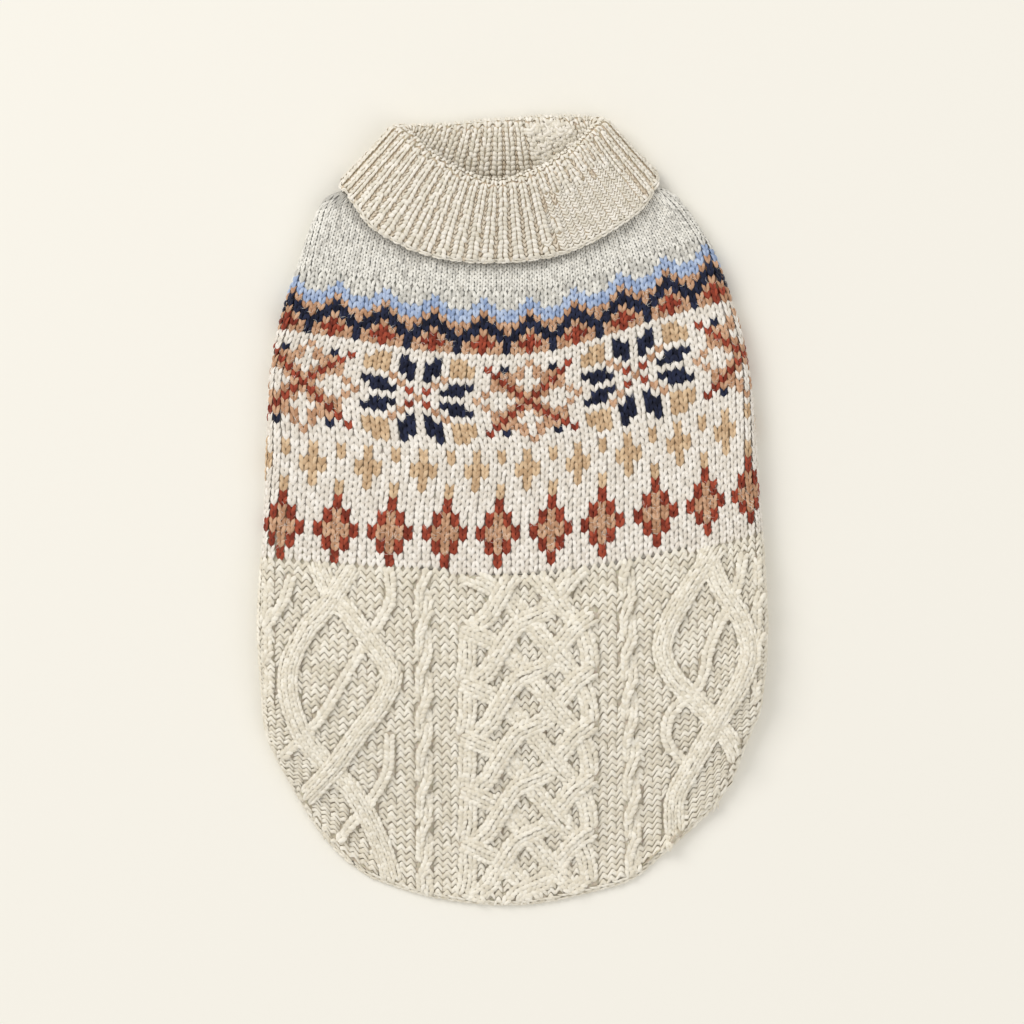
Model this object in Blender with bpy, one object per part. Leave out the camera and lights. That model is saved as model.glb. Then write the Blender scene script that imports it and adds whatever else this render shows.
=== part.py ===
"""Knitted dog sweater, laid flat with its back up.

Four knitted pieces, each a closed cloth wall:
  back_yoke    patterned upper back, wrapped round both side edges
  back_skirt   cabled lower back with the rounded tail hem, knitted on below the yoke
  belly_panel  plain shorter underbody with two leg openings
  collar       ribbed neckband that stands up from the neckline and folds outward on itself
X runs to the right, Y toward the neck and Z up. Sizes are in millimetres until the last step.
"""
import math

import bpy
import numpy as np

MM = 0.001

# ---------------------------------------------------------------- driving sizes
CLOTH = 2.2              # thickness of the knitted wall
COLLAR_CLOTH = 2.3       # thickness of the ribbed neckband
SEAM_GAP = 0.3           # room left between two pieces at a seam
SEAT_GAP = 0.45          # room left between the collar and the curved body it sits on
ROPE_HEIGHT = 2.8        # how far a cable rope stands above the purl ground
BEAD_HEIGHT = 2.2        # the same for the narrow twists
RELIEF_SHARE = 0.45      # and at most this share of the height of the cloth's top
RELIEF_FADE = 6.0        # length over which the cables rise below the yoke
RIB_HEIGHT = 1.5         # how far a collar rib stands above the furrow
RIB_COUNT = 52
SIDE_CROWDING = 1.0      # how far the ribs draw together at the neck's two sides; 0 is evenly
FOLD_RADIUS = 2.9        # centre-line radius of the collar's turned edge
BELLY_RISE = 14.0        # how far the underbody's lower edge curves up in its middle
BELLY_END = 0.76         # where the underbody stops, as a share of the side edge's length
LEG_HOLE = (17.0, 24.0)  # half width and half length of a leg opening
LEG_PLACES = ((-48.0, 72.0), (40.0, 74.0))

# Side edges of the back as seen from above, neck corner down to the hem corner (x, y)
LEFT_EDGE = [
    (-81.5, 163.0), (-87.0, 162.3), (-94.1, 158.6), (-100.7, 146.5), (-107.3, 126.8),
    (-116.4, 97.9), (-121.4, 72.6), (-123.5, 32.6), (-125.0, -7.3), (-128.2, -57.0),
    (-126.0, -89.3), (-123.5, -112.6), (-109.3, -141.9), (-93.1, -167.2), (-82.5, -177.9),
]
RIGHT_EDGE = [
    (68.0, 165.5), (75.0, 164.5), (84.0, 158.6), (99.2, 136.4), (108.8, 112.6),
    (117.4, 82.7), (121.4, 52.9), (124.5, 7.8), (127.0, -23.0), (128.5, -63.0),
    (125.0, -99.9), (119.9, -112.1), (111.3, -134.3), (101.7, -150.0), (76.9, -173.3),
]
# Lower hem and back neckline, left to right (x, y)
HEM_EDGE = [
    (-82.5, -177.9), (-69.8, -186.0), (-35.9, -196.1), (6.1, -199.1),
    (45.0, -191.5), (62.2, -185.4), (76.9, -173.3),
]
NECK_EDGE = [
    (-81.5, 163.0), (-67.0, 155.0), (-28.8, 142.0), (-6.1, 139.9),
    (17.2, 142.0), (55.0, 157.0), (68.0, 165.5),
]

# How the flattened body stands: share of the side edge's length from the neck, height of the
# rounded side, height of the middle, width of the underside lip, and run from side to middle
FLAT_RUN = 7.0           # the top keeps the side's height this far in from the rounded side
NECK_SETTLE = 0.08       # share of the side edge over which its inward direction turns level
BODY_COLUMNS = ("share", "side", "middle", "lip", "run")
BODY_TABLE = [
    (0.00, 12.0, 14.0, 3.0, 40.0),
    (0.10, 14.5, 17.5, 3.0, 60.0),
    (0.35, 15.5, 19.5, 3.0, 80.0),
    (0.60, 15.5, 18.5, 3.0, 80.0),
    (0.72, 15.0, 14.5, 3.0, 60.0),
    (0.80, 12.0, 9.5, 2.5, 40.0),
    (0.88, 7.5, 5.0, 2.0, 20.0),
    (0.94, 5.4, 2.6, 1.6, 9.0),
    (1.00, 5.2, 2.2, 1.5, 8.0),
]

# Cable strands on the skirt: half width, then points (x, y, lift); lift falls where a strand
# passes under another
STRANDS = {
    "left_diamond_over": (5.0, [
        (-81.5, -29.0, 0.6), (-94.1, -48.3, 1.0), (-104.2, -60.0, 1.0), (-112.8, -82.2, 1.0),
        (-106.8, -109.5, 1.0), (-92.1, -129.3, 0.4), (-80.5, -140.9, 1.0), (-66.3, -168.8, 1.0),
        (-61.0, -186.0, 1.0)]),
    "left_diamond_under": (5.0, [
        (-97.7, -26.1, 1.0), (-90.5, -41.0, 0.4), (-81.0, -51.9, 1.0), (-65.3, -72.6, 1.0),
        (-60.2, -82.0, 1.0), (-65.3, -94.9, 1.0), (-78.4, -112.6, 1.0), (-89.6, -128.3, 1.0),
        (-102.7, -142.4, 1.0), (-110.0, -152.0, 0.6)]),
    "left_thin_long": (3.0, [
        (-62.2, -26.6, 0.7), (-61.2, -44.3, 0.8), (-76.9, -70.6, 0.5), (-96.6, -103.5, 0.8),
        (-107.8, -115.1, 0.5), (-117.0, -124.0, 0.7)]),
    "left_thin_low": (3.0, [
        (-61.7, -113.6, 0.7), (-63.2, -131.3, 0.8), (-75.0, -150.5, 0.5), (-87.0, -164.7, 0.8)]),
    "left_thin_high": (3.0, [
        (-111.3, -33.6, 0.7), (-115.4, -45.3, 0.8), (-123.5, -57.4, 0.7)]),
    "right_diamond_over": (5.0, [
        (102.2, -18.0, 1.0), (91.6, -34.2, 1.0), (78.9, -55.9, 1.0), (75.5, -70.0, 1.0),
        (82.0, -83.7, 1.0), (97.2, -99.9, 0.5), (110.3, -116.1, 1.0), (117.5, -133.0, 1.0)]),
    "right_diamond_under": (5.0, [
        (96.6, -13.9, 0.5), (103.7, -35.2, 1.0), (115.4, -54.4, 1.0), (119.6, -70.0, 1.0),
        (115.4, -84.8, 1.0), (104.7, -103.0, 1.0), (89.6, -129.8, 1.0), (82.5, -145.0, 1.0),
        (83.0, -172.0, 1.0)]),
    "right_thin": (3.0, [
        (116.4, -22.5, 0.8), (112.8, -38.2, 0.6), (99.2, -67.6, 0.8), (94.6, -86.3, 0.6),
        (80.0, -101.0, 0.7), (77.9, -114.1, 0.8), (89.0, -129.0, 0.6)]),
}
# One strand of the middle braid leaning each way, relative to its start; repeated down the skirt
BRAID_PITCH = 27.4
BRAID_START = 5.0
BRAID_REPEATS = 9
BRAID_HALF_WIDTH = 4.8
BRAID_FORWARD = [
    (39.0, -2.0, 1.0), (31.9, -7.6, 1.0), (24.8, -16.2, 0.7), (19.7, -25.3, 0.4),
    (11.1, -29.9, 0.9), (2.5, -34.4, 1.0), (-6.1, -47.1, 1.0), (-11.6, -56.2, 1.0),
    (-21.3, -65.8, 0.8), (-22.5, -80.0, 0.6),
]
BRAID_BACKWARD = [
    (-25.8, -8.1, 0.8), (-16.2, -12.1, 0.6), (-7.1, -16.7, 0.4), (1.5, -24.3, 0.8),
    (13.2, -38.0, 1.0), (24.0, -51.0, 1.0), (33.5, -61.5, 0.8), (38.0, -72.0, 0.6),
]
# Narrow two-stitch twists: x at the skirt top, x at the hem, y of the first crossing, pitch
TWISTS = [
    (-125.0, -124.0, -54.0, 22.0),
    (-44.3, -44.3, -55.4, 20.8),
    (58.0, 62.0, -47.3, 20.3),
    (125.5, 124.0, -40.0, 21.0),
]
TWIST_HALF_WIDTH = 3.6
TWIST_HALF_LENGTH = 9.0
TWIST_LEAN = 0.30        # sideways run of a bead for each millimetre of its length
TWIST_LENGTH = 150.0     # length over which a twist moves from its top x to its hem x
TWIST_END_DROP = 0.6     # share of the bead's round section lost at its ends
# Top edge of the cabled skirt (x, y)
SKIRT_TOP = [(-128.0, -22.0), (-60.0, -27.0), (0.0, -31.0), (60.0, -24.0), (128.0, -10.0)]

# Collar stations once round the neck, from the left side over the back of the neck to the right
# side and back along the throat: turned edge (x, y, z), then free edge of the fall (x, y, z)
COLLAR_STATIONS = [
    (-56.5, 192.0, 13.5, -85.2, 165.8, 8.0),
    (-50.5, 187.6, 21.0, -80.2, 157.6, 15.5),
    (-40.0, 178.0, 25.5, -68.0, 142.6, 18.0),
    (-24.0, 168.3, 28.0, -40.0, 129.8, 19.0),
    (-6.0, 163.9, 29.0, -7.0, 126.8, 19.5),
    (13.0, 170.4, 28.0, 27.0, 131.5, 19.0),
    (30.0, 181.0, 25.0, 55.0, 146.0, 18.0),
    (39.5, 189.8, 20.0, 68.0, 157.6, 15.5),
    (44.0, 195.0, 13.0, 72.0, 169.0, 8.0),
    (39.0, 198.0, 5.4, 66.0, 175.5, 1.5),
    (22.0, 199.0, 4.05, 38.0, 178.0, 1.15),
    (-5.0, 197.3, 4.05, -4.0, 178.0, 1.15),
    (-31.0, 195.0, 4.05, -44.0, 177.0, 1.15),
    (-49.0, 194.0, 5.4, -76.5, 172.5, 1.8),
]

# How the collar leaves the neckline and comes down to its free edge
STAND_RISE = 0.5         # climb of the band for each millimetre forward where it leaves the seam
STAND_PULL = 0.8         # how long the band keeps its direction at both ends of the stand
FALL_PULL = 0.7          # the same for the fall
RIM_TILT = 0.25          # how much of the stand's climb the folded rim follows
SEAM_RIB = 0.3           # share of a rib's height left at the neckline seam
YOKE_UNDER_COLLAR = 0.25  # share of the panel searched for cloth under the fall
BESIDE = 1.2             # a body point this near sideways counts as under the fall
UNDER_FADE = (-0.75, 0.5)  # a rib flattens where its face turns this far down, over this range

# Mesh density
YOKE_ROWS = 10
SKIRT_ROWS = 44
YOKE_SHARE = 0.505       # part of the back's length that is yoke
JOIN_SHARE = 0.001       # room left between yoke and skirt, as a share of the back's length
MIDDLE_COLUMNS = 62
BELLY_COLUMNS = 6
INSIDE_ROW_STEP = 3      # the skirt's plain inside skips rows and columns of its raised outside
INSIDE_COLUMN_STEP = 4
RIB_COLUMNS = 3
STAND_ROWS = 4
TURN_ROWS = 4
FALL_ROWS = 5

COLOURS = {
    "back_yoke": (0.78, 0.73, 0.66),
    "back_skirt": (0.80, 0.76, 0.68),
    "belly_panel": (0.76, 0.72, 0.63),
    "collar": (0.78, 0.73, 0.64),
}


# ---------------------------------------------------------------- curves
class Curve:
    """Smooth curve through a short table of points, read by its share of length."""

    def __init__(self, points, closed=False):
        points = np.array(points, float)
        if closed:
            points = np.vstack([points[-2:], points, points[:3]])
        steps = np.linalg.norm(np.diff(points, axis=0), axis=1)
        knots = np.concatenate([[0.0], np.cumsum(steps)])
        slopes = np.empty_like(points)
        slopes[1:-1] = (points[2:] - points[:-2]) / (knots[2:] - knots[:-2])[:, None]
        slopes[0] = (points[1] - points[0]) / steps[0]
        slopes[-1] = (points[-1] - points[-2]) / steps[-1]
        self.points, self.knots, self.slopes = points, knots, slopes
        first, last = (2, len(points) - 3) if closed else (0, len(points) - 1)
        self.start, self.end = knots[first], knots[last]
        self.stations = knots[first:last + 1]

    def at_length(self, length):
        length = np.asarray(length, float)
        cell = np.clip(np.searchsorted(self.knots, length, "right") - 1, 0, len(self.knots) - 2)
        span = (self.knots[cell + 1] - self.knots[cell])
        t = ((length - self.knots[cell]) / span)[..., None]
        span = span[..., None]
        return ((2 * t**3 - 3 * t**2 + 1) * self.points[cell]
                + (t**3 - 2 * t**2 + t) * span * self.slopes[cell]
                + (3 * t**2 - 2 * t**3) * self.points[cell + 1]
                + (t**3 - t**2) * span * self.slopes[cell + 1])

    def __call__(self, share):
        return self.at_length(self.start + np.asarray(share, float) * (self.end - self.start))

    def at_station(self, station):
        """Read a closed curve by its table row, with fractions between rows."""
        return self.at_length(np.interp(station, np.arange(len(self.stations)), self.stations))


def unit(vectors):
    return vectors / np.linalg.norm(vectors, axis=-1, keepdims=True)


def ease(value):
    value = np.clip(value, 0.0, 1.0)
    return value * value * (3.0 - 2.0 * value)


def body(column, share):
    table = np.array(BODY_TABLE)
    return np.interp(share, table[:, 0], table[:, BODY_COLUMNS.index(column)])


# ---------------------------------------------------------------- raised cables
def strand_relief(x, y, points, half_width, height, samples=40):
    """Height of one round rope over the ground at each x, y."""
    path = Curve(points)(np.linspace(0.0, 1.0, samples))
    relief = np.zeros_like(x)
    for start, stop in zip(path[:-1], path[1:]):
        along = stop[:2] - start[:2]
        t = ((x - start[0]) * along[0] + (y - start[1]) * along[1]) / (along @ along)
        t = np.clip(t, 0.0, 1.0)
        away = np.hypot(x - start[0] - t * along[0], y - start[1] - t * along[1])
        lift = start[2] + t * (stop[2] - start[2])
        rise = np.sqrt(np.clip(1.0 - (away / half_width)**2, 0.0, 1.0))
        relief = np.maximum(relief, height * lift * rise)
    return relief


def skirt_relief(x, y):
    relief = np.zeros_like(x)
    for half_width, points in STRANDS.values():
        relief = np.maximum(relief, strand_relief(x, y, points, half_width, ROPE_HEIGHT))
    for repeat in range(BRAID_REPEATS):
        shift = np.array([0.0, BRAID_START - repeat * BRAID_PITCH, 0.0])
        for lean in (BRAID_FORWARD, BRAID_BACKWARD):
            points = np.array(lean) + shift
            rope = strand_relief(x, y, points, BRAID_HALF_WIDTH, ROPE_HEIGHT, samples=24)
            relief = np.maximum(relief, rope)
    for x_top, x_hem, y_first, pitch in TWISTS:
        middle = x_top + (x_hem - x_top) * (y_first - y) / TWIST_LENGTH
        phase = (y - y_first) / pitch
        along = (phase - np.round(phase)) * pitch
        away = x - middle - TWIST_LEAN * along
        drop = TWIST_END_DROP * (along / TWIST_HALF_LENGTH)**2
        inside = 1.0 - (away / TWIST_HALF_WIDTH)**2 - drop
        relief = np.maximum(relief, BEAD_HEIGHT * np.sqrt(np.clip(inside, 0.0, 1.0)))
    top = np.array(SKIRT_TOP)
    edge = np.interp(x, top[:, 0], top[:, 1])
    return relief * ease((edge - y) / RELIEF_FADE)


# ---------------------------------------------------------------- the flattened body
left_edge = Curve(LEFT_EDGE)
right_edge = Curve(RIGHT_EDGE)
hem_edge = Curve(HEM_EDGE)
neck_edge = Curve(NECK_EDGE)


def inward(edge, share, side):
    """Unit direction, seen from above, from a side edge toward the middle of the body."""
    ahead = edge(np.minimum(share + 0.01, 1.0)) - edge(np.maximum(share - 0.01, 0.0))
    ahead = unit(ahead)
    normal = np.stack([-ahead[..., 1], ahead[..., 0]], -1) * side
    level = np.array([side, 0.0])
    weight = ease(share / NECK_SETTLE)[..., None]
    return unit(normal * weight + level * (1.0 - weight))


def side_point(share, side, distance):
    """Point at a distance inside the left (side 1) or right (side -1) edge."""
    edge = left_edge if side > 0 else right_edge
    return edge(share) + inward(edge, share, side) * np.asarray(distance)[..., None]


def middle_point(u, share):
    """Point of the top layer between the two rounded sides."""
    def frame(value):
        radius = body("side", value) / 2.0
        return side_point(value, 1, radius), side_point(value, -1, radius)
    share = np.asarray(share, float)
    u = np.asarray(u, float)
    left, right = frame(share)
    top_left, top_right = frame(np.zeros_like(share))
    low_left, low_right = frame(np.ones_like(share))
    neck_ends = neck_edge(np.zeros_like(u)), neck_edge(np.ones_like(u))
    hem_ends = hem_edge(np.zeros_like(u)), hem_edge(np.ones_like(u))
    u = u[..., None]
    share = share[..., None]
    neck = neck_edge(u[..., 0]) + (top_left - neck_ends[0]) * (1 - u) + (top_right - neck_ends[1]) * u
    hem = hem_edge(u[..., 0]) + (low_left - hem_ends[0]) * (1 - u) + (low_right - hem_ends[1]) * u
    corners = ((1 - u) * (1 - share) * top_left + u * (1 - share) * top_right
               + (1 - u) * share * low_left + u * share * low_right)
    return (1 - u) * left + u * right + (1 - share) * neck + share * hem - corners


def middle_height(u, share, span):
    """Top of the cloth between the sides, before any cable."""
    from_side = np.minimum(u, 1.0 - u) * span
    weight = ease((from_side - FLAT_RUN) / body("run", share))
    side, middle = body("side", share), body("middle", share)
    return side + (middle - side) * weight


ARC = np.radians([-90.0, -45.0, 0.0, 45.0, 90.0])


def body_grid(shares):
    """Outer points and outward normals of the back: lip, rounded side, top, side, lip."""
    shares = np.asarray(shares, float)
    radius = body("side", shares) / 2.0
    columns, normals = [], []

    def side_columns(side, angles, with_lip):
        edge = left_edge if side > 0 else right_edge
        into = inward(edge, shares, side)
        if with_lip:
            flat = side_point(shares, side, radius + body("lip", shares))
            columns.append(np.column_stack([flat, np.zeros_like(shares)]))
            normals.append(np.tile([0.0, 0.0, -1.0], (len(shares), 1)))
        for angle in angles:
            place = side_point(shares, side, radius * (1.0 - math.cos(angle)))
            columns.append(np.column_stack([place, radius * (1.0 + math.sin(angle))]))
            normals.append(np.column_stack([-into * math.cos(angle),
                                            np.full_like(shares, math.sin(angle))]))

    side_columns(1, ARC, True)
    width = np.linalg.norm(middle_point(np.ones_like(shares), shares)
                           - middle_point(np.zeros_like(shares), shares), axis=1)
    for u in np.linspace(0.0, 1.0, MIDDLE_COLUMNS + 2)[1:-1]:
        along = np.full_like(shares, u)
        place = middle_point(along, shares)
        columns.append(np.column_stack([place, middle_height(along, shares, width)]))
        normals.append(np.tile([0.0, 0.0, 1.0], (len(shares), 1)))
    first_right = len(columns)
    side_columns(-1, ARC, True)
    columns[first_right:] = columns[first_right:][::-1]
    normals[first_right:] = normals[first_right:][::-1]
    return np.stack(columns, 1), np.stack(normals, 1)


# ---------------------------------------------------------------- meshes
def add_object(name, points, faces):
    mesh = bpy.data.meshes.new(name)
    mesh.from_pydata([tuple(p) for p in np.asarray(points) * MM], [], faces)
    mesh.validate()
    mesh.shade_smooth()
    thing = bpy.data.objects.new(name, mesh)
    bpy.context.collection.objects.link(thing)
    material = bpy.data.materials.new(name)
    material.use_nodes = True
    shader = material.node_tree.nodes["Principled BSDF"]
    shader.inputs["Base Color"].default_value = (*COLOURS[name], 1.0)
    shader.inputs["Roughness"].default_value = 0.9
    shader.inputs["Metallic"].default_value = 0.0
    mesh.materials.append(material)
    return thing


def grid_faces(index, heights, flip=False):
    """Two triangles a cell, cut along the diagonal that keeps a raised rope whole."""
    faces = []
    rows, columns = index.shape
    for i in range(rows - 1):
        for j in range(columns - 1):
            a, b = index[i, j], index[i, j + 1]
            c, d = index[i + 1, j + 1], index[i + 1, j]
            if heights[i, j] + heights[i + 1, j + 1] >= heights[i, j + 1] + heights[i + 1, j]:
                pair = [(a, d, c), (a, c, b)]
            else:
                pair = [(a, d, b), (d, c, b)]
            faces += [tuple(reversed(f)) for f in pair] if flip else pair
    return faces


def stitch(first, first_place, second, second_place):
    """Fill the strip between two rows of points that run the same way."""
    faces = []
    i = j = 0
    while i < len(first) - 1 or j < len(second) - 1:
        if j == len(second) - 1:
            step_first = True
        elif i == len(first) - 1:
            step_first = False
        else:
            step_first = first_place[i + 1] <= second_place[j + 1]
        if step_first:
            faces.append((first[i], second[j], first[i + 1]))
            i += 1
        else:
            faces.append((first[i], second[j], second[j + 1]))
            j += 1
    return faces


def every(count, step, keep=()):
    chosen = sorted(set(range(0, count, step)) | {count - 1} | set(keep))
    return np.array(chosen)


YOKE_SHARES = np.linspace(0.0, YOKE_SHARE, YOKE_ROWS + 1)
SKIRT_SHARES = np.linspace(YOKE_SHARE + JOIN_SHARE, 1.0, SKIRT_ROWS + 1)


def build_back(shares, inside_row_step):
    """One length of the back: raised outside, plain inside, closed at all four edges."""
    smooth, normals = body_grid(shares)
    relief = skirt_relief(smooth[..., 0], smooth[..., 1]) * np.clip(normals[..., 2], 0.0, 1.0)
    relief = np.minimum(relief, RELIEF_SHARE * smooth[..., 2])
    outer = smooth + normals * relief[..., None]
    inner = smooth - normals * CLOTH
    rows, columns = outer.shape[:2]
    edge_columns = list(range(6)) + list(range(columns - 6, columns))
    keep_rows = every(rows, inside_row_step)
    keep_columns = every(columns, INSIDE_COLUMN_STEP, edge_columns)
    inner = inner[np.ix_(keep_rows, keep_columns)]
    outer_index = np.arange(rows * columns).reshape(rows, columns)
    inner_index = rows * columns + np.arange(inner.shape[0] * inner.shape[1])
    inner_index = inner_index.reshape(inner.shape[:2])
    faces = grid_faces(outer_index, outer[..., 2])
    faces += grid_faces(inner_index, np.zeros(inner.shape[:2]), flip=True)
    row_place, column_place = np.arange(rows), np.arange(columns)
    faces += stitch(inner_index[0], keep_columns, outer_index[0], column_place)
    faces += stitch(outer_index[-1], column_place, inner_index[-1], keep_columns)
    faces += stitch(outer_index[:, 0], row_place, inner_index[:, 0], keep_rows)
    faces += stitch(inner_index[:, -1], keep_rows, outer_index[:, -1], row_place)
    points = np.concatenate([outer.reshape(-1, 3), inner.reshape(-1, 3)])
    return points, faces


def build_belly():
    """Flat plate between the two side seams; its lower edge curves up in the middle."""
    shares = np.concatenate([YOKE_SHARES, SKIRT_SHARES])
    shares = shares[shares <= BELLY_END]
    reach = body("side", shares) / 2.0 + body("lip", shares) + SEAM_GAP
    left, right = side_point(shares, 1, reach), side_point(shares, -1, reach)
    across = np.linspace(0.0, 1.0, BELLY_COLUMNS + 1)
    plan = left[:, None] * (1 - across[None, :, None]) + right[:, None] * across[None, :, None]
    rise = BELLY_RISE * np.sin(np.pi * across)[None, :] * (shares[:, None] / shares[-1])**3
    plan[..., 1] += rise
    rows, columns = plan.shape[:2]
    top = np.concatenate([plan, np.full((rows, columns, 1), CLOTH)], -1)
    low = np.concatenate([plan, np.zeros((rows, columns, 1))], -1)
    top_index = np.arange(rows * columns).reshape(rows, columns)
    low_index = top_index + rows * columns
    flat = np.zeros((rows, columns))
    faces = grid_faces(top_index, flat) + grid_faces(low_index, flat, flip=True)
    across_place, down_place = np.arange(columns), np.arange(rows)
    faces += stitch(low_index[0], across_place, top_index[0], across_place)
    faces += stitch(top_index[-1], across_place, low_index[-1], across_place)
    faces += stitch(top_index[:, 0], down_place, low_index[:, 0], down_place)
    faces += stitch(low_index[:, -1], down_place, top_index[:, -1], down_place)
    return np.concatenate([top.reshape(-1, 3), low.reshape(-1, 3)]), faces


def cut_leg_holes(belly):
    for number, (x, y) in enumerate(LEG_PLACES):
        bpy.ops.mesh.primitive_cylinder_add(vertices=28, radius=1.0, depth=2.0)
        cutter = bpy.context.object
        cutter.name = "leg_cutter_%d" % number
        cutter.location = (x * MM, y * MM, 0.0)
        cutter.scale = (LEG_HOLE[0] * MM, LEG_HOLE[1] * MM, 4.0 * CLOTH * MM)
        cutter.hide_render = True
        cutter.display_type = "WIRE"
        cut = belly.modifiers.new("leg_%d" % number, "BOOLEAN")
        cut.object = cutter
        cut.operation = "DIFFERENCE"
        cut.solver = "EXACT"
        cutters.append(cutter)


# ---------------------------------------------------------------- the collar
def read_line(points, share):
    """Point on a chain of straight runs, by share of its length."""
    lengths = np.concatenate([[0.0], np.cumsum(np.linalg.norm(np.diff(points, axis=0), axis=1))])
    place = np.asarray(share) * lengths[-1]
    return np.stack([np.interp(place, lengths, points[:, k]) for k in range(points.shape[1])], -1)


def neckline(station, edge_curve):
    """Seam of the neckband: the body's own neck row, moved up by the seam gap."""
    outer, normal = body_grid(np.array([0.0, 0.001]))
    middle = np.concatenate([outer[0] - normal[0] * CLOTH / 2.0, normal[0]], axis=1)
    left_side, right_side = 3, len(middle) - 4
    back = middle[left_side:right_side + 1]
    throat = np.vstack([middle[right_side:], middle[:left_side + 1]])
    lengths = np.interp(station, np.arange(len(edge_curve.stations)), edge_curve.stations)
    turn = edge_curve.stations[8]
    first, last = edge_curve.stations[0], edge_curve.stations[-1]
    back_share = np.clip((lengths - first) / (turn - first), 0.0, 1.0)
    throat_share = np.clip((lengths - turn) / (last - turn), 0.0, 1.0)
    seam = np.where((station < 8.0)[:, None], read_line(back, back_share),
                    read_line(throat, throat_share))
    seam[:, 1] += SEAT_GAP
    return seam[:, :3], unit(seam[:, 3:])


def clear_of_body(points):
    """Move the fall's middle surface out until its wall lies just over the yoke."""
    outer, normal = body_grid(np.linspace(0.0, YOKE_UNDER_COLLAR, 120))
    outer, normal = outer.reshape(-1, 3), normal.reshape(-1, 3)
    reach = COLLAR_CLOTH / 2.0 + SEAT_GAP
    result = points.copy()
    for k, point in enumerate(points):
        nearest = np.argmin(np.sum((outer - point)**2, axis=1))
        gap = (point - outer[nearest]) @ normal[nearest]
        sideways = np.linalg.norm(point - outer[nearest] - gap * normal[nearest])
        if gap < reach and sideways < BESIDE:
            result[k] = point + normal[nearest] * (reach - gap)
    return result


def hermite(start, stop, leave, arrive, t):
    return ((2 * t**3 - 3 * t**2 + 1) * start + (t**3 - 2 * t**2 + t) * leave
            + (3 * t**2 - 2 * t**3) * stop + (t**3 - t**2) * arrive)


def collar_surface(station):
    """Middle surface of the band: rows run from the neckline over the fold to the free edge."""
    table = np.array(COLLAR_STATIONS)
    fold_curve = Curve(table[:, :3], closed=True)
    edge_curve = Curve(table[:, 3:], closed=True)
    fold = fold_curve.at_station(station)
    edge = edge_curve.at_station(station)
    half = COLLAR_CLOTH / 2.0
    edge[:, 2] = np.maximum(edge[:, 2], half)
    seam, seam_normal = neckline(station, edge_curve)
    seam[:, 2] = np.maximum(seam[:, 2], half)
    rim = unit((fold - seam) * np.array([1.0, 1.0, RIM_TILT]))
    tangent = unit(np.roll(fold, -1, axis=0) - np.roll(fold, 1, axis=0))
    out = unit(np.cross(tangent, rim))
    centre = fold - rim * FOLD_RADIUS
    rows = []
    start_turn = centre - out * FOLD_RADIUS
    run = np.linalg.norm(start_turn - seam, axis=1)[:, None]
    leave = unit(np.array([0.0, 1.0, STAND_RISE])) * run * STAND_PULL
    for t in np.linspace(0.0, 1.0, STAND_ROWS + 1)[:-1]:
        rows.append(hermite(seam, start_turn, leave, rim * run * STAND_PULL, t))
    for angle in np.linspace(-90.0, 90.0, TURN_ROWS + 1):
        a = math.radians(angle)
        rows.append(centre + FOLD_RADIUS * (rim * math.cos(a) + out * math.sin(a)))
    end_turn = rows[-1]
    run = np.linalg.norm(edge - end_turn, axis=1)[:, None]
    arrive = unit(edge - end_turn) * run * FALL_PULL
    for t in np.linspace(0.0, 1.0, FALL_ROWS + 1)[1:]:
        row = hermite(end_turn, edge, -rim * run * FALL_PULL, arrive, t)
        row[:, 2] = np.maximum(row[:, 2], half)
        rows.append(clear_of_body(row))
    return np.stack(rows), seam_normal


def rib_stations(count):
    """Table rows, with fractions, that space the ribs round the band, closer at its two sides."""
    table = np.array(COLLAR_STATIONS)
    marks = [np.linspace(0.0, SIDE_CROWDING, len(table) + 1)]
    for columns in (table[:, :3], table[:, 3:]):
        curve = Curve(columns, closed=True)
        marks.append((curve.stations - curve.start) / (curve.end - curve.start))
    marks = sum(marks) / (2.0 + SIDE_CROWDING)
    return np.interp(np.arange(count) / count, marks, np.arange(len(marks)))


def build_collar():
    count = RIB_COUNT * RIB_COLUMNS
    station = rib_stations(count)
    middle, seam_normal = collar_surface(station)
    around = np.roll(middle, -1, axis=1) - np.roll(middle, 1, axis=1)
    along = np.gradient(middle, axis=0)
    normal = unit(np.cross(along, around))
    normal[0] = -seam_normal
    raised = (np.arange(count) % RIB_COLUMNS) > 0
    rows = len(middle)
    rise = np.ones(rows)
    rise[0] = SEAM_RIB
    showing = ease((normal[..., 2] - UNDER_FADE[0]) / UNDER_FADE[1])
    showing[:STAND_ROWS] = 1.0
    rib = RIB_HEIGHT * raised[None, :] * rise[:, None] * showing
    half = COLLAR_CLOTH / 2.0
    face = middle + normal * (half + rib)[..., None]
    back = (middle - normal * half)[:, ::RIB_COLUMNS]
    face[..., 2] = np.maximum(face[..., 2], 0.0)
    back[..., 2] = np.maximum(back[..., 2], 0.0)
    face_index = np.arange(rows * count).reshape(rows, count)
    back_index = rows * count + np.arange(back.shape[0] * back.shape[1]).reshape(back.shape[:2])
    face_wrap = np.concatenate([face_index, face_index[:, :1]], 1)
    back_wrap = np.concatenate([back_index, back_index[:, :1]], 1)
    faces = grid_faces(face_wrap, np.zeros(face_wrap.shape))
    faces += grid_faces(back_wrap, np.zeros(back_wrap.shape), flip=True)
    face_place = np.arange(count + 1)
    back_place = np.arange(back.shape[1] + 1) * RIB_COLUMNS
    faces += stitch(back_wrap[0], back_place, face_wrap[0], face_place)
    faces += stitch(face_wrap[-1], face_place, back_wrap[-1], back_place)
    return np.concatenate([face.reshape(-1, 3), back.reshape(-1, 3)]), faces


# ---------------------------------------------------------------- assembly
for old in list(bpy.data.objects):
    bpy.data.objects.remove(old, do_unlink=True)

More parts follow.
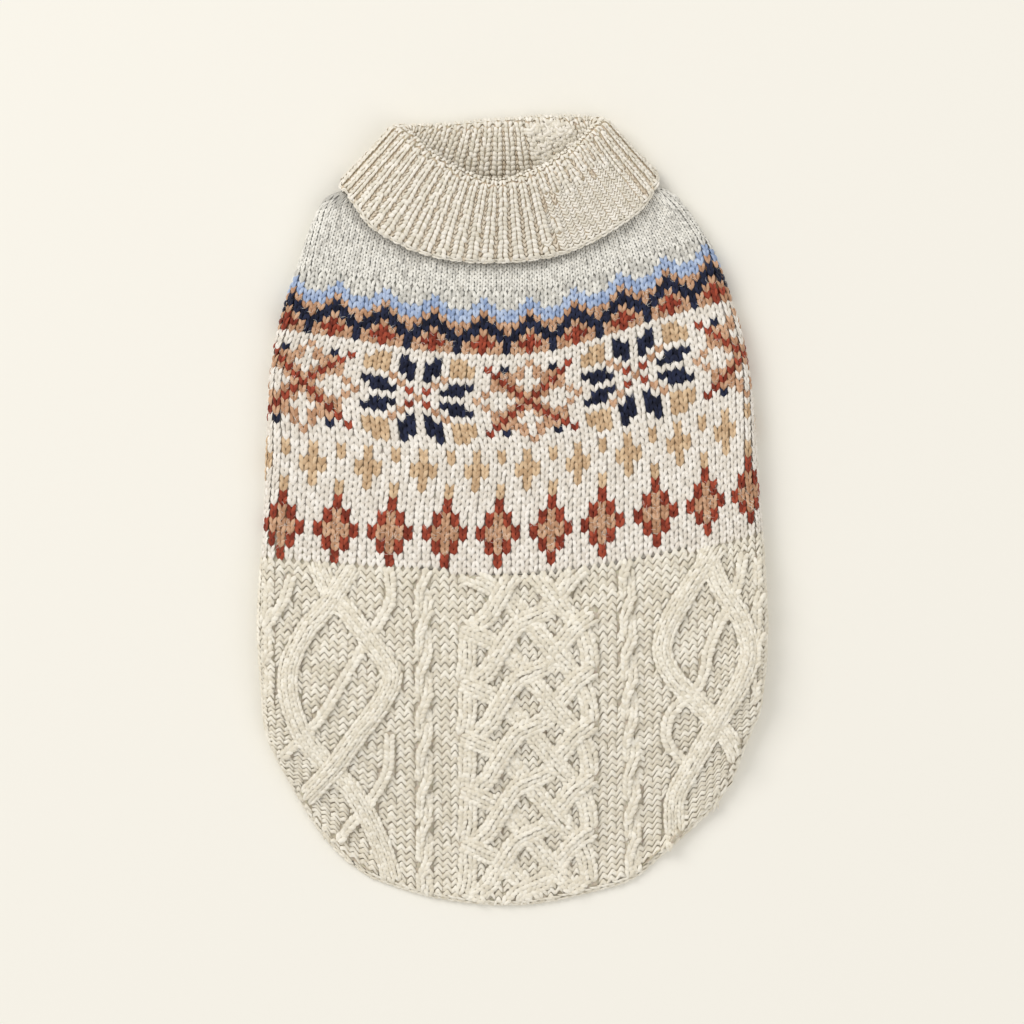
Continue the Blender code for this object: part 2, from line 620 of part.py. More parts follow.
cutters = []
pieces = {
    "back_yoke": build_back(YOKE_SHARES, 1),
    "back_skirt": build_back(SKIRT_SHARES, INSIDE_ROW_STEP),
    "belly_panel": build_belly(),
    "collar": build_collar(),
}
everything = np.concatenate([points for points, faces in pieces.values()])
low, high = everything.min(axis=0), everything.max(axis=0)
shift = np.array([-(low[0] + high[0]) / 2.0, -(low[1] + high[1]) / 2.0, 0.0])
for name, (points, faces) in pieces.items():
    thing = add_object(name, points + shift, faces)
    if name == "belly_panel":
        cut_leg_holes(thing)
for cutter in cutters:
    cutter.location.x += shift[0] * MM
    cutter.location.y += shift[1] * MM
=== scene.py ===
"""Looks of a knitted dog sweater that lies flat with its back up.

Each piece of knitting is a thin cloth wall with its real stitches on it, one small yarn loop
after another. Sizes are in millimetres on the laid-out sweater until a mesh is made.
"""
import math

import bpy
import numpy as np
from mathutils.bvhtree import BVHTree
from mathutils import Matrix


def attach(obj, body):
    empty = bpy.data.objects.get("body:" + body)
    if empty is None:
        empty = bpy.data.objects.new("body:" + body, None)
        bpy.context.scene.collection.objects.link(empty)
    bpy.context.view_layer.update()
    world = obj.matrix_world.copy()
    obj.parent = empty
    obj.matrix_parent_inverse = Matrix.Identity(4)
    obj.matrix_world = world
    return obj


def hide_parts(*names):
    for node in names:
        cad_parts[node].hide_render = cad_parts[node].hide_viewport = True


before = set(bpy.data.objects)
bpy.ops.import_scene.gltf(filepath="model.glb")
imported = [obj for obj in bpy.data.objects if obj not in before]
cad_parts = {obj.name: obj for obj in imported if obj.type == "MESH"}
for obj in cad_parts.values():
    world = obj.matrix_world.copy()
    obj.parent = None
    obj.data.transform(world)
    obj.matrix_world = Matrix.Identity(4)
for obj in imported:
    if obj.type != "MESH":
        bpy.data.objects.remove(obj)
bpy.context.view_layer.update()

# ------------------------------------------------------------------ yoke and skirt: the cloth
# The back of the sweater is one length of wool knitting, patterned above and cabled below. It
# wraps round both sides and meets the underbody just under the folds. The cloth wall itself is
# mostly hidden by its stitches, and shows between them as the yarn darkened with painted shade.
MM = 0.001
MIDDLE = np.array([-0.18, -2.12, 0.0])   # from the laid-out sweater's zero to the frame's
CLOTH = 2.2                              # thickness of the body's knitting
UNDER_STITCHES = 0.45                    # how far the cloth wall lies below the stitches' roots
PRESSED_WALL = 0.7                       # lowest height of a cloth wall over the table
# The laid-out sweater's outline from above, in points (x, y): sides, tail hem and neckline
LEFT_EDGE = [
    (-81.5, 163.0), (-87.0, 162.3), (-94.1, 158.6), (-100.7, 146.5), (-107.3, 126.8),
    (-116.4, 97.9), (-121.4, 72.6), (-123.5, 32.6), (-125.0, -7.3), (-128.2, -57.0),
    (-126.0, -89.3), (-123.5, -112.6), (-109.3, -141.9), (-93.1, -167.2), (-82.5, -177.9),
]
RIGHT_EDGE = [
    (68.0, 165.5), (75.0, 164.5), (84.0, 158.6), (99.2, 136.4), (108.8, 112.6),
    (117.4, 82.7), (121.4, 52.9), (124.5, 7.8), (127.0, -23.0), (128.5, -63.0),
    (125.0, -99.9), (119.9, -112.1), (111.3, -134.3), (101.7, -150.0), (76.9, -173.3),
]
HEM_EDGE = [
    (-82.5, -177.9), (-69.8, -186.0), (-35.9, -196.1), (6.1, -199.1),
    (45.0, -191.5), (62.2, -185.4), (76.9, -173.3),
]
NECK_EDGE = [
    (-81.5, 163.0), (-67.0, 155.0), (-28.8, 142.0), (-6.1, 139.9),
    (17.2, 142.0), (55.0, 157.0), (68.0, 165.5),
]
# Share of the side edge from the neck, height of the rounded side, height of the middle, width
# of the turned-under lip, and run from the side's height to the middle's
BODY_COLUMNS = ("share", "side", "middle", "lip", "run")
BODY_TABLE = np.array([
    (0.00, 12.0, 14.0, 3.0, 40.0),
    (0.10, 14.5, 17.5, 3.0, 60.0),
    (0.35, 15.5, 19.5, 3.0, 80.0),
    (0.60, 15.5, 18.5, 3.0, 80.0),
    (0.72, 15.0, 14.5, 3.0, 60.0),
    (0.80, 12.0, 9.5, 2.5, 40.0),
    (0.88, 7.5, 5.0, 2.0, 20.0),
    (0.94, 5.4, 2.6, 1.6, 9.0),
    (1.00, 5.2, 2.2, 1.5, 8.0),
])
FLAT_RUN = 7.0            # the top stays level this far in from its rounded sides
NECK_SETTLE = 0.08        # share of an edge over which a side stops running straight across
YOKE_SHARE = 0.505        # the yoke ends at this share of the edges, and the skirt starts at the next
SKIRT_SHARE = 0.506

# Cable ropes of the skirt: half width, then points (x, y, lift)
ROPES = {
    "left_diamond_over": (5.0, [
        (-81.5, -29.0, 0.6), (-94.1, -48.3, 1.0), (-104.2, -60.0, 1.0), (-112.8, -82.2, 1.0),
        (-106.8, -109.5, 1.0), (-92.1, -129.3, 0.4), (-80.5, -140.9, 1.0), (-66.3, -168.8, 1.0),
        (-61.0, -186.0, 1.0)]),
    "left_diamond_under": (5.0, [
        (-97.7, -26.1, 1.0), (-90.5, -41.0, 0.4), (-81.0, -51.9, 1.0), (-65.3, -72.6, 1.0),
        (-60.2, -82.0, 1.0), (-65.3, -94.9, 1.0), (-78.4, -112.6, 1.0), (-89.6, -128.3, 1.0),
        (-102.7, -142.4, 1.0), (-110.0, -152.0, 0.6)]),
    "left_thin_long": (3.0, [
        (-62.2, -26.6, 0.7), (-61.2, -44.3, 0.8), (-76.9, -70.6, 0.5), (-96.6, -103.5, 0.8),
        (-107.8, -115.1, 0.5), (-117.0, -124.0, 0.7)]),
    "left_thin_low": (3.0, [
        (-61.7, -113.6, 0.7), (-63.2, -131.3, 0.8), (-75.0, -150.5, 0.5), (-87.0, -164.7, 0.8)]),
    "left_thin_high": (3.0, [
        (-111.3, -33.6, 0.7), (-115.4, -45.3, 0.8), (-123.5, -57.4, 0.7)]),
    "right_diamond_over": (5.0, [
        (102.2, -18.0, 1.0), (91.6, -34.2, 1.0), (78.9, -55.9, 1.0), (75.5, -70.0, 1.0),
        (82.0, -83.7, 1.0), (97.2, -99.9, 0.5), (110.3, -116.1, 1.0), (117.5, -133.0, 1.0)]),
    "right_diamond_under": (5.0, [
        (96.6, -13.9, 0.5), (103.7, -35.2, 1.0), (115.4, -54.4, 1.0), (119.6, -70.0, 1.0),
        (115.4, -84.8, 1.0), (104.7, -103.0, 1.0), (89.6, -129.8, 1.0), (82.5, -145.0, 1.0),
        (83.0, -172.0, 1.0)]),
    "right_thin": (3.0, [
        (116.4, -22.5, 0.8), (112.8, -38.2, 0.6), (99.2, -67.6, 0.8), (94.6, -86.3, 0.6),
        (80.0, -101.0, 0.7), (77.9, -114.1, 0.8), (89.0, -129.0, 0.6)]),
}
# The middle braid repeats two strands that lean forward and backward
BRAID_PITCH = 27.4
BRAID_START = 5.0
BRAID_REPEATS = 9
BRAID_HALF_WIDTH = 4.8
BRAID_FORWARD = [
    (39.0, -2.0, 1.0), (31.9, -7.6, 1.0), (24.8, -16.2, 0.8), (19.7, -25.3, 0.35),
    (11.1, -29.9, 0.9), (2.5, -34.4, 1.0), (-6.1, -47.1, 1.0), (-11.6, -56.2, 0.9),
    (-21.3, -65.8, 0.4), (-22.5, -80.0, 0.8), (-24.0, -88.0, 0.45),
]
BRAID_BACKWARD = [
    (-23.5, -8.9, 0.6), (-16.2, -12.1, 0.85), (-7.1, -16.7, 0.45), (1.5, -24.3, 0.4),
    (13.2, -38.0, 0.85), (24.0, -51.0, 0.8), (33.5, -61.5, 0.45), (38.0, -72.0, 0.8),
    (39.2, -81.0, 0.8),
]
# Narrow twists: x at the top, x at the hem, y of the first crossing, pitch
TWISTS = [
    (-125.0, -124.0, -54.0, 22.0),
    (-44.3, -44.3, -55.4, 20.8),
    (58.0, 62.0, -47.3, 20.3),
    (125.5, 124.0, -40.0, 21.0),
]
TWIST_HALF_WIDTH = 3.6
TWIST_HALF_LENGTH = 9.0
TWIST_LEAN = 0.30
TWIST_LENGTH = 150.0
TWIST_END_DROP = 0.6
SKIRT_TOP = np.array([(-128.0, -22.0), (-60.0, -27.0), (0.0, -31.0), (60.0, -24.0), (128.0, -10.0)])
ROPE_HEIGHT = 2.8
BEAD_HEIGHT = 2.2         # height of each swelling of a narrow twist
RELIEF_SHARE = 0.45       # most that a rope may add to the height of the cloth under it
RELIEF_FADE = 6.0         # ropes rise over this length below the skirt's top edge


def ease(value):
    value = np.clip(value, 0.0, 1.0)
    return value * value * (3.0 - 2.0 * value)


def unit(vectors):
    return vectors / np.maximum(np.linalg.norm(vectors, axis=-1, keepdims=True), 1e-9)


def bend(start, stop, leave, arrive, t):
    """Smooth curve between two places with a direction at each."""
    return ((2 * t**3 - 3 * t**2 + 1) * start + (t**3 - 2 * t**2 + t) * leave
            + (3 * t**2 - 2 * t**3) * stop + (t**3 - t**2) * arrive)


def through(knots, values, at):
    """Smooth curve through values at their knots; straight on past both ends."""
    knots, values, at = np.asarray(knots, float), np.asarray(values, float), np.asarray(at, float)
    slopes = np.empty_like(values)
    spread = (slice(None),) + (None,) * (values.ndim - 1)
    slopes[1:-1] = (values[2:] - values[:-2]) / (knots[2:] - knots[:-2])[spread]
    slopes[0] = (values[1] - values[0]) / (knots[1] - knots[0])
    slopes[-1] = (values[-1] - values[-2]) / (knots[-1] - knots[-2])
    cell = np.clip(np.searchsorted(knots, at, "right") - 1, 0, len(knots) - 2)
    span = (knots[cell + 1] - knots[cell])[spread]
    whole = ((at - knots[cell]) / (knots[cell + 1] - knots[cell]))[spread]
    t = np.clip(whole, 0.0, 1.0)
    leave, arrive = span * slopes[cell], span * slopes[cell + 1]
    past = np.minimum(whole, 0.0) * leave + np.maximum(whole - 1.0, 0.0) * arrive
    return bend(values[cell], values[cell + 1], leave, arrive, t) + past


class Line:
    """Smooth line through a short table of points, read by its share of length."""

    def __init__(self, points):
        self.points = np.array(points, float)
        steps = np.linalg.norm(np.diff(self.points, axis=0), axis=1)
        self.knots = np.concatenate([[0.0], np.cumsum(steps)])
        self.length = self.knots[-1]

    def __call__(self, share):
        return through(self.knots, self.points, np.asarray(share, float) * self.length)


left_edge, right_edge = Line(LEFT_EDGE), Line(RIGHT_EDGE)
hem_edge, neck_edge = Line(HEM_EDGE), Line(NECK_EDGE)


def body(column, share):
    """One size of the body, from a column of its table."""
    return np.interp(share, BODY_TABLE[:, 0], BODY_TABLE[:, BODY_COLUMNS.index(column)])


def inward(edge, share, side):
    """Direction across the sweater, away from one of its side edges."""
    ahead = unit(edge(np.minimum(share + 0.01, 1.0)) - edge(np.maximum(share - 0.01, 0.0)))
    normal = np.stack([-ahead[..., 1], ahead[..., 0]], -1) * side
    weight = ease(share / NECK_SETTLE)[..., None]
    return unit(normal * weight + np.array([side, 0.0]) * (1.0 - weight))


def side_point(share, side, distance):
    """Point at a distance inside the left (side 1) or right (side -1) edge."""
    edge = left_edge if side > 0 else right_edge
    return edge(share) + inward(edge, share, side) * np.asarray(distance)[..., None]


def middle_point(u, share):
    """Point of the top layer between the two rounded sides, seen from above."""
    def sides(value):
        radius = body("side", value) / 2.0
        return side_point(value, 1, radius), side_point(value, -1, radius)
    left, right = sides(share)
    top_left, top_right = sides(np.zeros_like(share))
    low_left, low_right = sides(np.ones_like(share))
    zero, one = np.zeros_like(u), np.ones_like(u)
    across, down = u[..., None], share[..., None]
    neck = (neck_edge(u) + (top_left - neck_edge(zero)) * (1 - across)
            + (top_right - neck_edge(one)) * across)
    hem = (hem_edge(u) + (low_left - hem_edge(zero)) * (1 - across)
           + (low_right - hem_edge(one)) * across)
    corners = ((1 - across) * (1 - down) * top_left + across * (1 - down) * top_right
               + (1 - across) * down * low_left + across * down * low_right)
    return (1 - across) * left + across * right + (1 - down) * neck + down * hem - corners


def middle_height(u, share, span):
    """Height of the top layer; u runs from 0 at the left to 1 at the right."""
    weight = ease((np.minimum(u, 1.0 - u) * span - FLAT_RUN) / body("run", share))
    side, middle = body("side", share), body("middle", share)
    return side + (middle - side) * weight


def body_grid(shares, columns=62, turns=5):
    """Outer points and outward normals of the back: lip, rounded side, top, side, lip."""
    shares = np.asarray(shares, float)
    radius = body("side", shares) / 2.0
    arcs = np.linspace(-math.pi / 2.0, math.pi / 2.0, turns)

    def rounded(side):
        edge = left_edge if side > 0 else right_edge
        into = inward(edge, shares, side)
        flat = side_point(shares, side, radius + body("lip", shares))
        places = [np.column_stack([flat, 0.0 * shares])]
        normals = [np.tile([0.0, 0.0, -1.0], (len(shares), 1))]
        for angle in arcs:
            place = side_point(shares, side, radius * (1.0 - math.cos(angle)))
            places.append(np.column_stack([place, radius * (1.0 + math.sin(angle))]))
            up = np.full_like(shares, math.sin(angle))
            normals.append(np.column_stack([-into * math.cos(angle), up]))
        return places, normals

    places, normals = rounded(1)
    right_places, right_normals = rounded(-1)
    zero, one = np.zeros_like(shares), np.ones_like(shares)
    span = np.linalg.norm(middle_point(one, shares) - middle_point(zero, shares), axis=1)
    for u in np.linspace(0.0, 1.0, columns + 2)[1:-1]:
        along = np.full_like(shares, u)
        place = middle_point(along, shares)
        places.append(np.column_stack([place, middle_height(along, shares, span)]))
        normals.append(np.tile([0.0, 0.0, 1.0], (len(shares), 1)))
    places += right_places[::-1]
    normals += right_normals[::-1]
    return np.stack(places, 1), np.stack(normals, 1)


def own_relief(away, half_width, height, lift):
    """Height of a round rope at a distance from its middle line."""
    return height * lift * np.sqrt(np.clip(1.0 - (away / half_width)**2, 0.0, 1.0))


def rope_relief(x, y, points, half_width, samples=40):
    """Height of one round rope over the purl ground at each x, y."""
    path = Line(points)(np.linspace(0.0, 1.0, samples))
    relief = np.zeros_like(x)
    for start, stop in zip(path[:-1], path[1:]):
        along = stop[:2] - start[:2]
        t = ((x - start[0]) * along[0] + (y - start[1]) * along[1]) / (along @ along)
        t = np.clip(t, 0.0, 1.0)
        away = np.hypot(x - start[0] - t * along[0], y - start[1] - t * along[1])
        lift = start[2] + t * (stop[2] - start[2])
        relief = np.maximum(relief, own_relief(away, half_width, ROPE_HEIGHT, lift))
    return relief


def all_ropes():
    """Every rope of the skirt, each braid repeat among them: (points, half width)."""
    ropes = [(np.array(points), half_width) for half_width, points in ROPES.values()]
    for repeat in range(BRAID_REPEATS):
        shift = np.array([0.0, BRAID_START - repeat * BRAID_PITCH, 0.0])
        for lean in (BRAID_FORWARD, BRAID_BACKWARD):
            ropes.append((np.array(lean) + shift, BRAID_HALF_WIDTH))
    return ropes


def below_yoke(x, y):
    """From 0 at the skirt's top edge to 1 a little below it."""
    return ease((np.interp(x, SKIRT_TOP[:, 0], SKIRT_TOP[:, 1]) - y) / RELIEF_FADE)


def skirt_relief(x, y):
    """Height of the highest rope or twist at each place."""
    relief = np.zeros_like(x)
    for points, half_width in all_ropes():
        near = (y < points[:, 1].max() + half_width) & (y > points[:, 1].min() - half_width)
        if near.any():
            relief[near] = np.maximum(relief[near],
                                      rope_relief(x[near], y[near], points, half_width))
    for x_top, x_hem, y_first, pitch in TWISTS:
        middle = x_top + (x_hem - x_top) * (y_first - y) / TWIST_LENGTH
        phase = (y - y_first) / pitch
        along = (phase - np.round(phase)) * pitch
        away = x - middle - TWIST_LEAN * along
        drop = TWIST_END_DROP * (along / TWIST_HALF_LENGTH)**2
        inside = 1.0 - (away / TWIST_HALF_WIDTH)**2 - drop
        relief = np.maximum(relief, BEAD_HEIGHT * np.sqrt(np.clip(inside, 0.0, 1.0)))
    return relief * below_yoke(x, y)


# The colour pattern, as a knitter's chart. K navy, R rust, C camel, B light blue, H honey,
# . cream and O the oatmeal of the plain top.
# Wale 0 runs through the middle of the left star and row 0 holds the peaks of the zigzag.
YARNS = ".KRCBOH"
ZIGZAG = [          # wales 0, 1, 2, 3, -2, -1 from a peak, rows 0 to 9
    "OOOOOO", "BOOOOO", "BBOOOB", "CBBBBB", "KCBBBC",
    "KKCCCK", "CKKCKK", "RCKKKC", "RRCKCR", "RCCKCC",
]
STAR_QUARTER = [    # wales 0 to 6 from the middle, rows 0 to 6 from the middle
    "C......", ".R.KKK.", "..C.KKK", ".K.C...", ".KK.HHH", ".KK.HHH", "..K.HH.",
]
CROSS_QUARTER = [   # the crossed bars inside a tan diamond
    "RC....C", "CRC..C.", ".CRCC..", "..CRC..", ".CCCR..", ".C.K.R.", "C......",
]
DIAMOND = [         # wales 0, 1, 2 from the middle, rows 30 to 41
    "H..", "H..", "R..", "R..", "CR.", "CR.", "CCR", "CCR", "CR.", "CR.", "R..", "R..",
]
STAR_ROW = 17
MOTIF_REPEAT = 26
SMALL_REPEAT = 6
DOT_ROWS = (25, 26)
TAN_CROSS_ROWS = (25, 30)  # first and last row of the small crosses between the dots
TAN_CROSS_ARMS = (27, 28)
DIAMOND_TOP = 30
PEAK_WALE = 1             # wale of a zigzag peak
DIAMOND_WALE = 3          # wale of a diamond's middle


def yarn_at(row, wale):
    """Index in YARNS of the yarn that a stitch is knitted with."""
    row, wale = int(round(row)), int(round(wale))
    if row < 0:
        return YARNS.index("O")
    if row < len(ZIGZAG):
        return YARNS.index(ZIGZAG[row][(wale - PEAK_WALE) % SMALL_REPEAT])
    peak = (wale - DIAMOND_WALE) % SMALL_REPEAT
    for chart, middle in ((STAR_QUARTER, 0), (CROSS_QUARTER, MOTIF_REPEAT // 2)):
        across = abs((wale - middle + MOTIF_REPEAT // 2) % MOTIF_REPEAT - MOTIF_REPEAT // 2)
        down = abs(row - STAR_ROW)
        if across < len(chart[0]) and down < len(chart):
            return YARNS.index(chart[down][across])
    if row in DOT_ROWS and peak == 0:
        return YARNS.index("H")
    centre = min(wale % SMALL_REPEAT, -wale % SMALL_REPEAT)
    if TAN_CROSS_ROWS[0] <= row <= TAN_CROSS_ROWS[1] and centre == 0:
        return YARNS.index("H")
    if row in TAN_CROSS_ARMS and centre == 1:
        return YARNS.index("H")
    across = min(peak, SMALL_REPEAT - peak)
    if DIAMOND_TOP <= row < DIAMOND_TOP + len(DIAMOND) and across < len(DIAMOND[0]):
        return YARNS.index(DIAMOND[row - DIAMOND_TOP][across])
    return YARNS.index(".")


# Where the knitting's lines run: for each row number, the place of every sixth wale (x, y)
LINE_WALES = np.arange(-15, 40, 6)
KNIT_LINES = [
    (-24, [(-79.0, 182.1), (-62.1, 178.1), (-44.8, 174.8), (-26.5, 172.9), (-6.4, 172.7),
           (11.0, 174.0), (27.0, 178.5), (41.0, 184.0), (54.0, 190.0), (66.0, 195.0)]),
    (-12, [(-92.5, 154.2), (-71.9, 150.0), (-50.3, 145.7), (-28.0, 143.0), (-5.9, 142.9),
           (14.5, 144.4), (33.5, 148.8), (51.0, 154.3), (67.5, 159.6), (82.5, 164.0)]),
    (0, [(-101.1, 119.7), (-78.7, 116.5), (-54.7, 112.7), (-30.2, 109.6), (-6.1, 109.1),
         (16.0, 110.2), (38.3, 116.4), (60.8, 124.4), (82.6, 132.0), (101.5, 137.9)]),
    (7, [(-105.3, 98.4), (-81.7, 95.1), (-56.1, 90.8), (-31.4, 87.7), (-6.2, 87.0),
         (16.7, 88.5), (39.8, 94.5), (63.7, 102.1), (86.8, 109.7), (108.5, 115.6)]),
    (17, [(-113.8, 66.5), (-88.0, 63.5), (-60.7, 58.9), (-34.4, 56.4), (-9.1, 55.4),
          (16.7, 56.4), (41.5, 62.5), (66.3, 70.1), (93.1, 75.6), (117.4, 79.7)]),
    (25.5, [(-113.8, 33.1), (-86.0, 30.6), (-58.2, 28.6), (-30.4, 27.1), (-5.1, 27.6),
            (20.7, 29.6), (45.5, 33.6), (70.8, 38.7), (95.6, 44.8), (118.4, 50.9)]),
    (35.5, [(-115.9, -3.3), (-88.5, -5.3), (-61.2, -6.8), (-33.4, -7.3), (-7.1, -7.3),
            (19.7, -5.3), (45.0, -1.8), (72.4, 2.8), (97.7, 7.8), (118.9, 12.9)]),
    (42.5, [(-116.9, -27.1), (-89.6, -29.1), (-61.7, -31.1), (-33.9, -31.6), (-7.1, -31.6),
            (19.7, -29.6), (45.5, -26.1), (72.9, -21.0), (98.7, -14.9), (120.4, -8.9)]),
    (60, [(-116.9, -81.7), (-89.6, -86.3), (-61.2, -89.8), (-33.4, -91.8), (-6.6, -91.8),
          (19.7, -90.3), (46.0, -86.3), (73.4, -80.2), (99.7, -72.6), (121.4, -65.5)]),
    (76, [(-116.9, -120.7), (-89.6, -131.8), (-60.7, -140.9), (-32.9, -145.5), (-6.6, -147.0),
          (19.7, -145.5), (46.0, -140.4), (73.4, -129.8), (99.7, -115.6), (121.4, -100.4)]),
    (92, [(-116.9, -144.0), (-89.6, -169.3), (-60.7, -189.5), (-32.9, -197.1), (-6.6, -200.6),
          (19.7, -198.6), (46.0, -191.5), (73.4, -177.4), (99.7, -152.6), (121.4, -124.7)]),
]
LINE_ROWS = np.array([row for row, places in KNIT_LINES], float)
LINE_PLACES = np.array([places for row, places in KNIT_LINES], float)


def knit_place(row, wales):
    """Places (x, y) of one row's stitches, seen from above."""
    down = through(LINE_ROWS, LINE_PLACES, np.array([row]))[0]
    return through(LINE_WALES, down, wales)


# A dense copy of the smooth back, to read the cloth's height at any place
DENSE_SHARES = np.linspace(0.0, 1.0, 240)
SIDE_TURNS = 9            # lines of the mesh round each side
smooth_points = body_grid(DENSE_SHARES, columns=120, turns=SIDE_TURNS)[0]


def grid_quads(rows, columns, start=0, flip=False):
    """Faces of a grid of points that are numbered row by row."""
    first = start + (np.arange(rows - 1)[:, None] * columns + np.arange(columns - 1)).ravel()
    quads = np.stack([first, first + columns, first + columns + 1, first + 1], 1)
    return quads[:, ::-1] if flip else quads


height_tree = BVHTree.FromPolygons(
    smooth_points.reshape(-1, 3).tolist(),
    grid_quads(*smooth_points.shape[:2]).tolist())
OVER_ALL = 100.0          # a height over every piece, from which heights are read downward


def top_height(x, y):
    """Height of the smooth cloth under each place; NaN where there is none."""
    heights = np.full(len(x), np.nan)
    for k in range(len(x)):
        hit = height_tree.ray_cast((x[k], y[k], OVER_ALL), (0.0, 0.0, -1.0))[0]
        if hit is not None:
            heights[k] = hit.z
    return heights


def srgb(red, green, blue):
    """Colour of the yarn as a person sees it, in the shader's linear numbers."""
    levels = np.array([red, green, blue])
    linear = np.where(levels <= 0.04045, levels / 12.92, ((levels + 0.055) / 1.055)**2.4)
    return (*linear.tolist(), 1.0)


def add_mesh(name, points, faces):
    """A named piece from points in millimetres on the laid-out sweater."""
    mesh = bpy.data.meshes.new(name)
    mesh.from_pydata(((np.asarray(points) + MIDDLE) * MM).tolist(), [], np.asarray(faces).tolist())
    mesh.shade_smooth()
    piece = bpy.data.objects.new(name, mesh)
    bpy.context.scene.collection.objects.link(piece)
    return piece


FLECK_STRENGTH = 0.6      # how strongly the flecks of another tone show


def wool(name, light, dark, fleck):
    """Heathered wool: the tone changes from loop to loop and along the yarn, with fine fibres."""
    material = bpy.data.materials.new(name)
    material.use_nodes = True
    nodes, links = material.node_tree.nodes, material.node_tree.links
    shader = nodes["Principled BSDF"]
    place = nodes.new("ShaderNodeTexCoord")
    tone = nodes.new("ShaderNodeAttribute")
    tone.attribute_name = "tone"
    mottle = nodes.new("ShaderNodeTexNoise")
    mottle.inputs["Scale"].default_value = 330.0
    mottle.inputs["Detail"].default_value = 3.0
    links.new(place.outputs["Object"], mottle.inputs["Vector"])
    sum_tone = nodes.new("ShaderNodeMath")
    sum_tone.operation = "ADD"
    links.new(tone.outputs["Fac"], sum_tone.inputs[0])
    links.new(mottle.outputs["Fac"], sum_tone.inputs[1])
    ramp = nodes.new("ShaderNodeValToRGB")
    ramp.color_ramp.elements[0].position = 0.62
    ramp.color_ramp.elements[0].color = srgb(*dark)
    ramp.color_ramp.elements[1].position = 1.0
    ramp.color_ramp.elements[1].color = srgb(*light)
    links.new(sum_tone.outputs[0], ramp.inputs["Fac"])
    specks = nodes.new("ShaderNodeTexNoise")
    specks.inputs["Scale"].default_value = 720.0
    specks.inputs["Detail"].default_value = 2.0
    links.new(place.outputs["Object"], specks.inputs["Vector"])
    pick = nodes.new("ShaderNodeMapRange")
    pick.inputs["From Min"].default_value = 0.66
    pick.inputs["From Max"].default_value = 0.80
    pick.inputs["To Max"].default_value = FLECK_STRENGTH
    links.new(specks.outputs["Fac"], pick.inputs["Value"])
    mix = nodes.new("ShaderNodeMix")
    mix.data_type = "RGBA"
    mix.inputs["B"].default_value = srgb(*fleck)
    links.new(pick.outputs["Result"], mix.inputs["Factor"])
    links.new(ramp.outputs["Color"], mix.inputs["A"])
    links.new(mix.outputs["Result"], shader.inputs["Base Color"])
    fibres = nodes.new("ShaderNodeTexNoise")
    fibres.inputs["Scale"].default_value = 2600.0
    fibres.inputs["Detail"].default_value = 3.0
    links.new(place.outputs["Object"], fibres.inputs["Vector"])
    bump = nodes.new("ShaderNodeBump")
    bump.inputs["Strength"].default_value = 0.35
    bump.inputs["Distance"].default_value = 0.0003
    links.new(fibres.outputs["Fac"], bump.inputs["Height"])
    links.new(bump.outputs["Normal"], shader.inputs["Normal"])
    shader.inputs["Roughness"].default_value = 0.92
    shader.inputs["Specular IOR Level"].default_value = 0.15
    shader.inputs["Sheen Weight"].default_value = 0.25
    shader.inputs["Sheen Roughness"].default_value = 0.5
    return material


# What each yarn looks like: light tone, dark tone and fleck
YARN_TONES = {
    "cream": ((0.99, 0.97, 0.94), (0.91, 0.88, 0.835), (0.80, 0.73, 0.62)),
    "navy": ((0.16, 0.185, 0.29), (0.07, 0.085, 0.16), (0.26, 0.29, 0.38)),
    "rust": ((0.68, 0.31, 0.22), (0.48, 0.19, 0.13), (0.78, 0.45, 0.34)),
    "camel": ((0.855, 0.695, 0.565), (0.715, 0.54, 0.415), (0.92, 0.82, 0.70)),
    "light_blue": ((0.76, 0.82, 0.92), (0.59, 0.67, 0.81), (0.88, 0.91, 0.94)),
    "oatmeal": ((0.97, 0.963, 0.935), (0.79, 0.782, 0.755), (0.70, 0.67, 0.61)),
    "honey": ((0.895, 0.785, 0.645), (0.765, 0.64, 0.50), (0.94, 0.87, 0.75)),
}
YARN_NAMES = ("cream", "navy", "rust", "camel", "light_blue", "oatmeal", "honey")
yarn_materials = {name: wool(name + "_wool", *YARN_TONES[name]) for name in YARN_NAMES}

ROUND_SIDE = 0.8          # ropes die away where the cloth leans over as far as this


def rope_fade(outs):
    """Share of a rope's height that is left as the cloth turns over at a side."""
    return np.clip((outs[..., 2] - ROUND_SIDE) / (1.0 - ROUND_SIDE), 0.0, 1.0)


def cloth_wall(name, shares, columns, patterned):
    """Closed wall of the back between two rows, with the ropes raised in its outer face."""
    outer, normals = body_grid(shares, columns=columns, turns=SIDE_TURNS)
    rise = skirt_relief(outer[..., 0], outer[..., 1]) * rope_fade(normals)
    rise = np.minimum(rise, RELIEF_SHARE * outer[..., 2])
    inner = outer - normals * CLOTH
    outer = outer + normals * (rise - UNDER_STITCHES)[..., None]
    for layer in (outer, inner):
        layer[..., 2] = np.maximum(layer[..., 2], PRESSED_WALL)
    rows, count = outer.shape[:2]
    total = rows * count
    rim = np.concatenate([
        np.arange(count), np.arange(1, rows) * count + count - 1,
        (rows - 1) * count + np.arange(count - 2, -1, -1), np.arange(rows - 2, 0, -1) * count])
    onward = np.roll(rim, -1)
    edge = np.stack([rim, onward, onward + total, rim + total], 1)
    faces = np.concatenate([grid_quads(rows, count), grid_quads(rows, count, total, flip=True), edge])
    points = np.concatenate([outer.reshape(-1, 3), inner.reshape(-1, 3)])
    wall = add_mesh(name, points, faces)
    if patterned:
        paint_pattern(wall, outer, total)
    return wall


PAINTED_ROWS = np.arange(-16, 46)
PAINTED_WALES = np.arange(-20, 46)
PAINT_SHADE = 0.92        # painted shade: the cloth's colour beside its yarn's dark tone
PAINT_BATCHES = 40        # the cloth's points are looked up in so many parts, to save memory


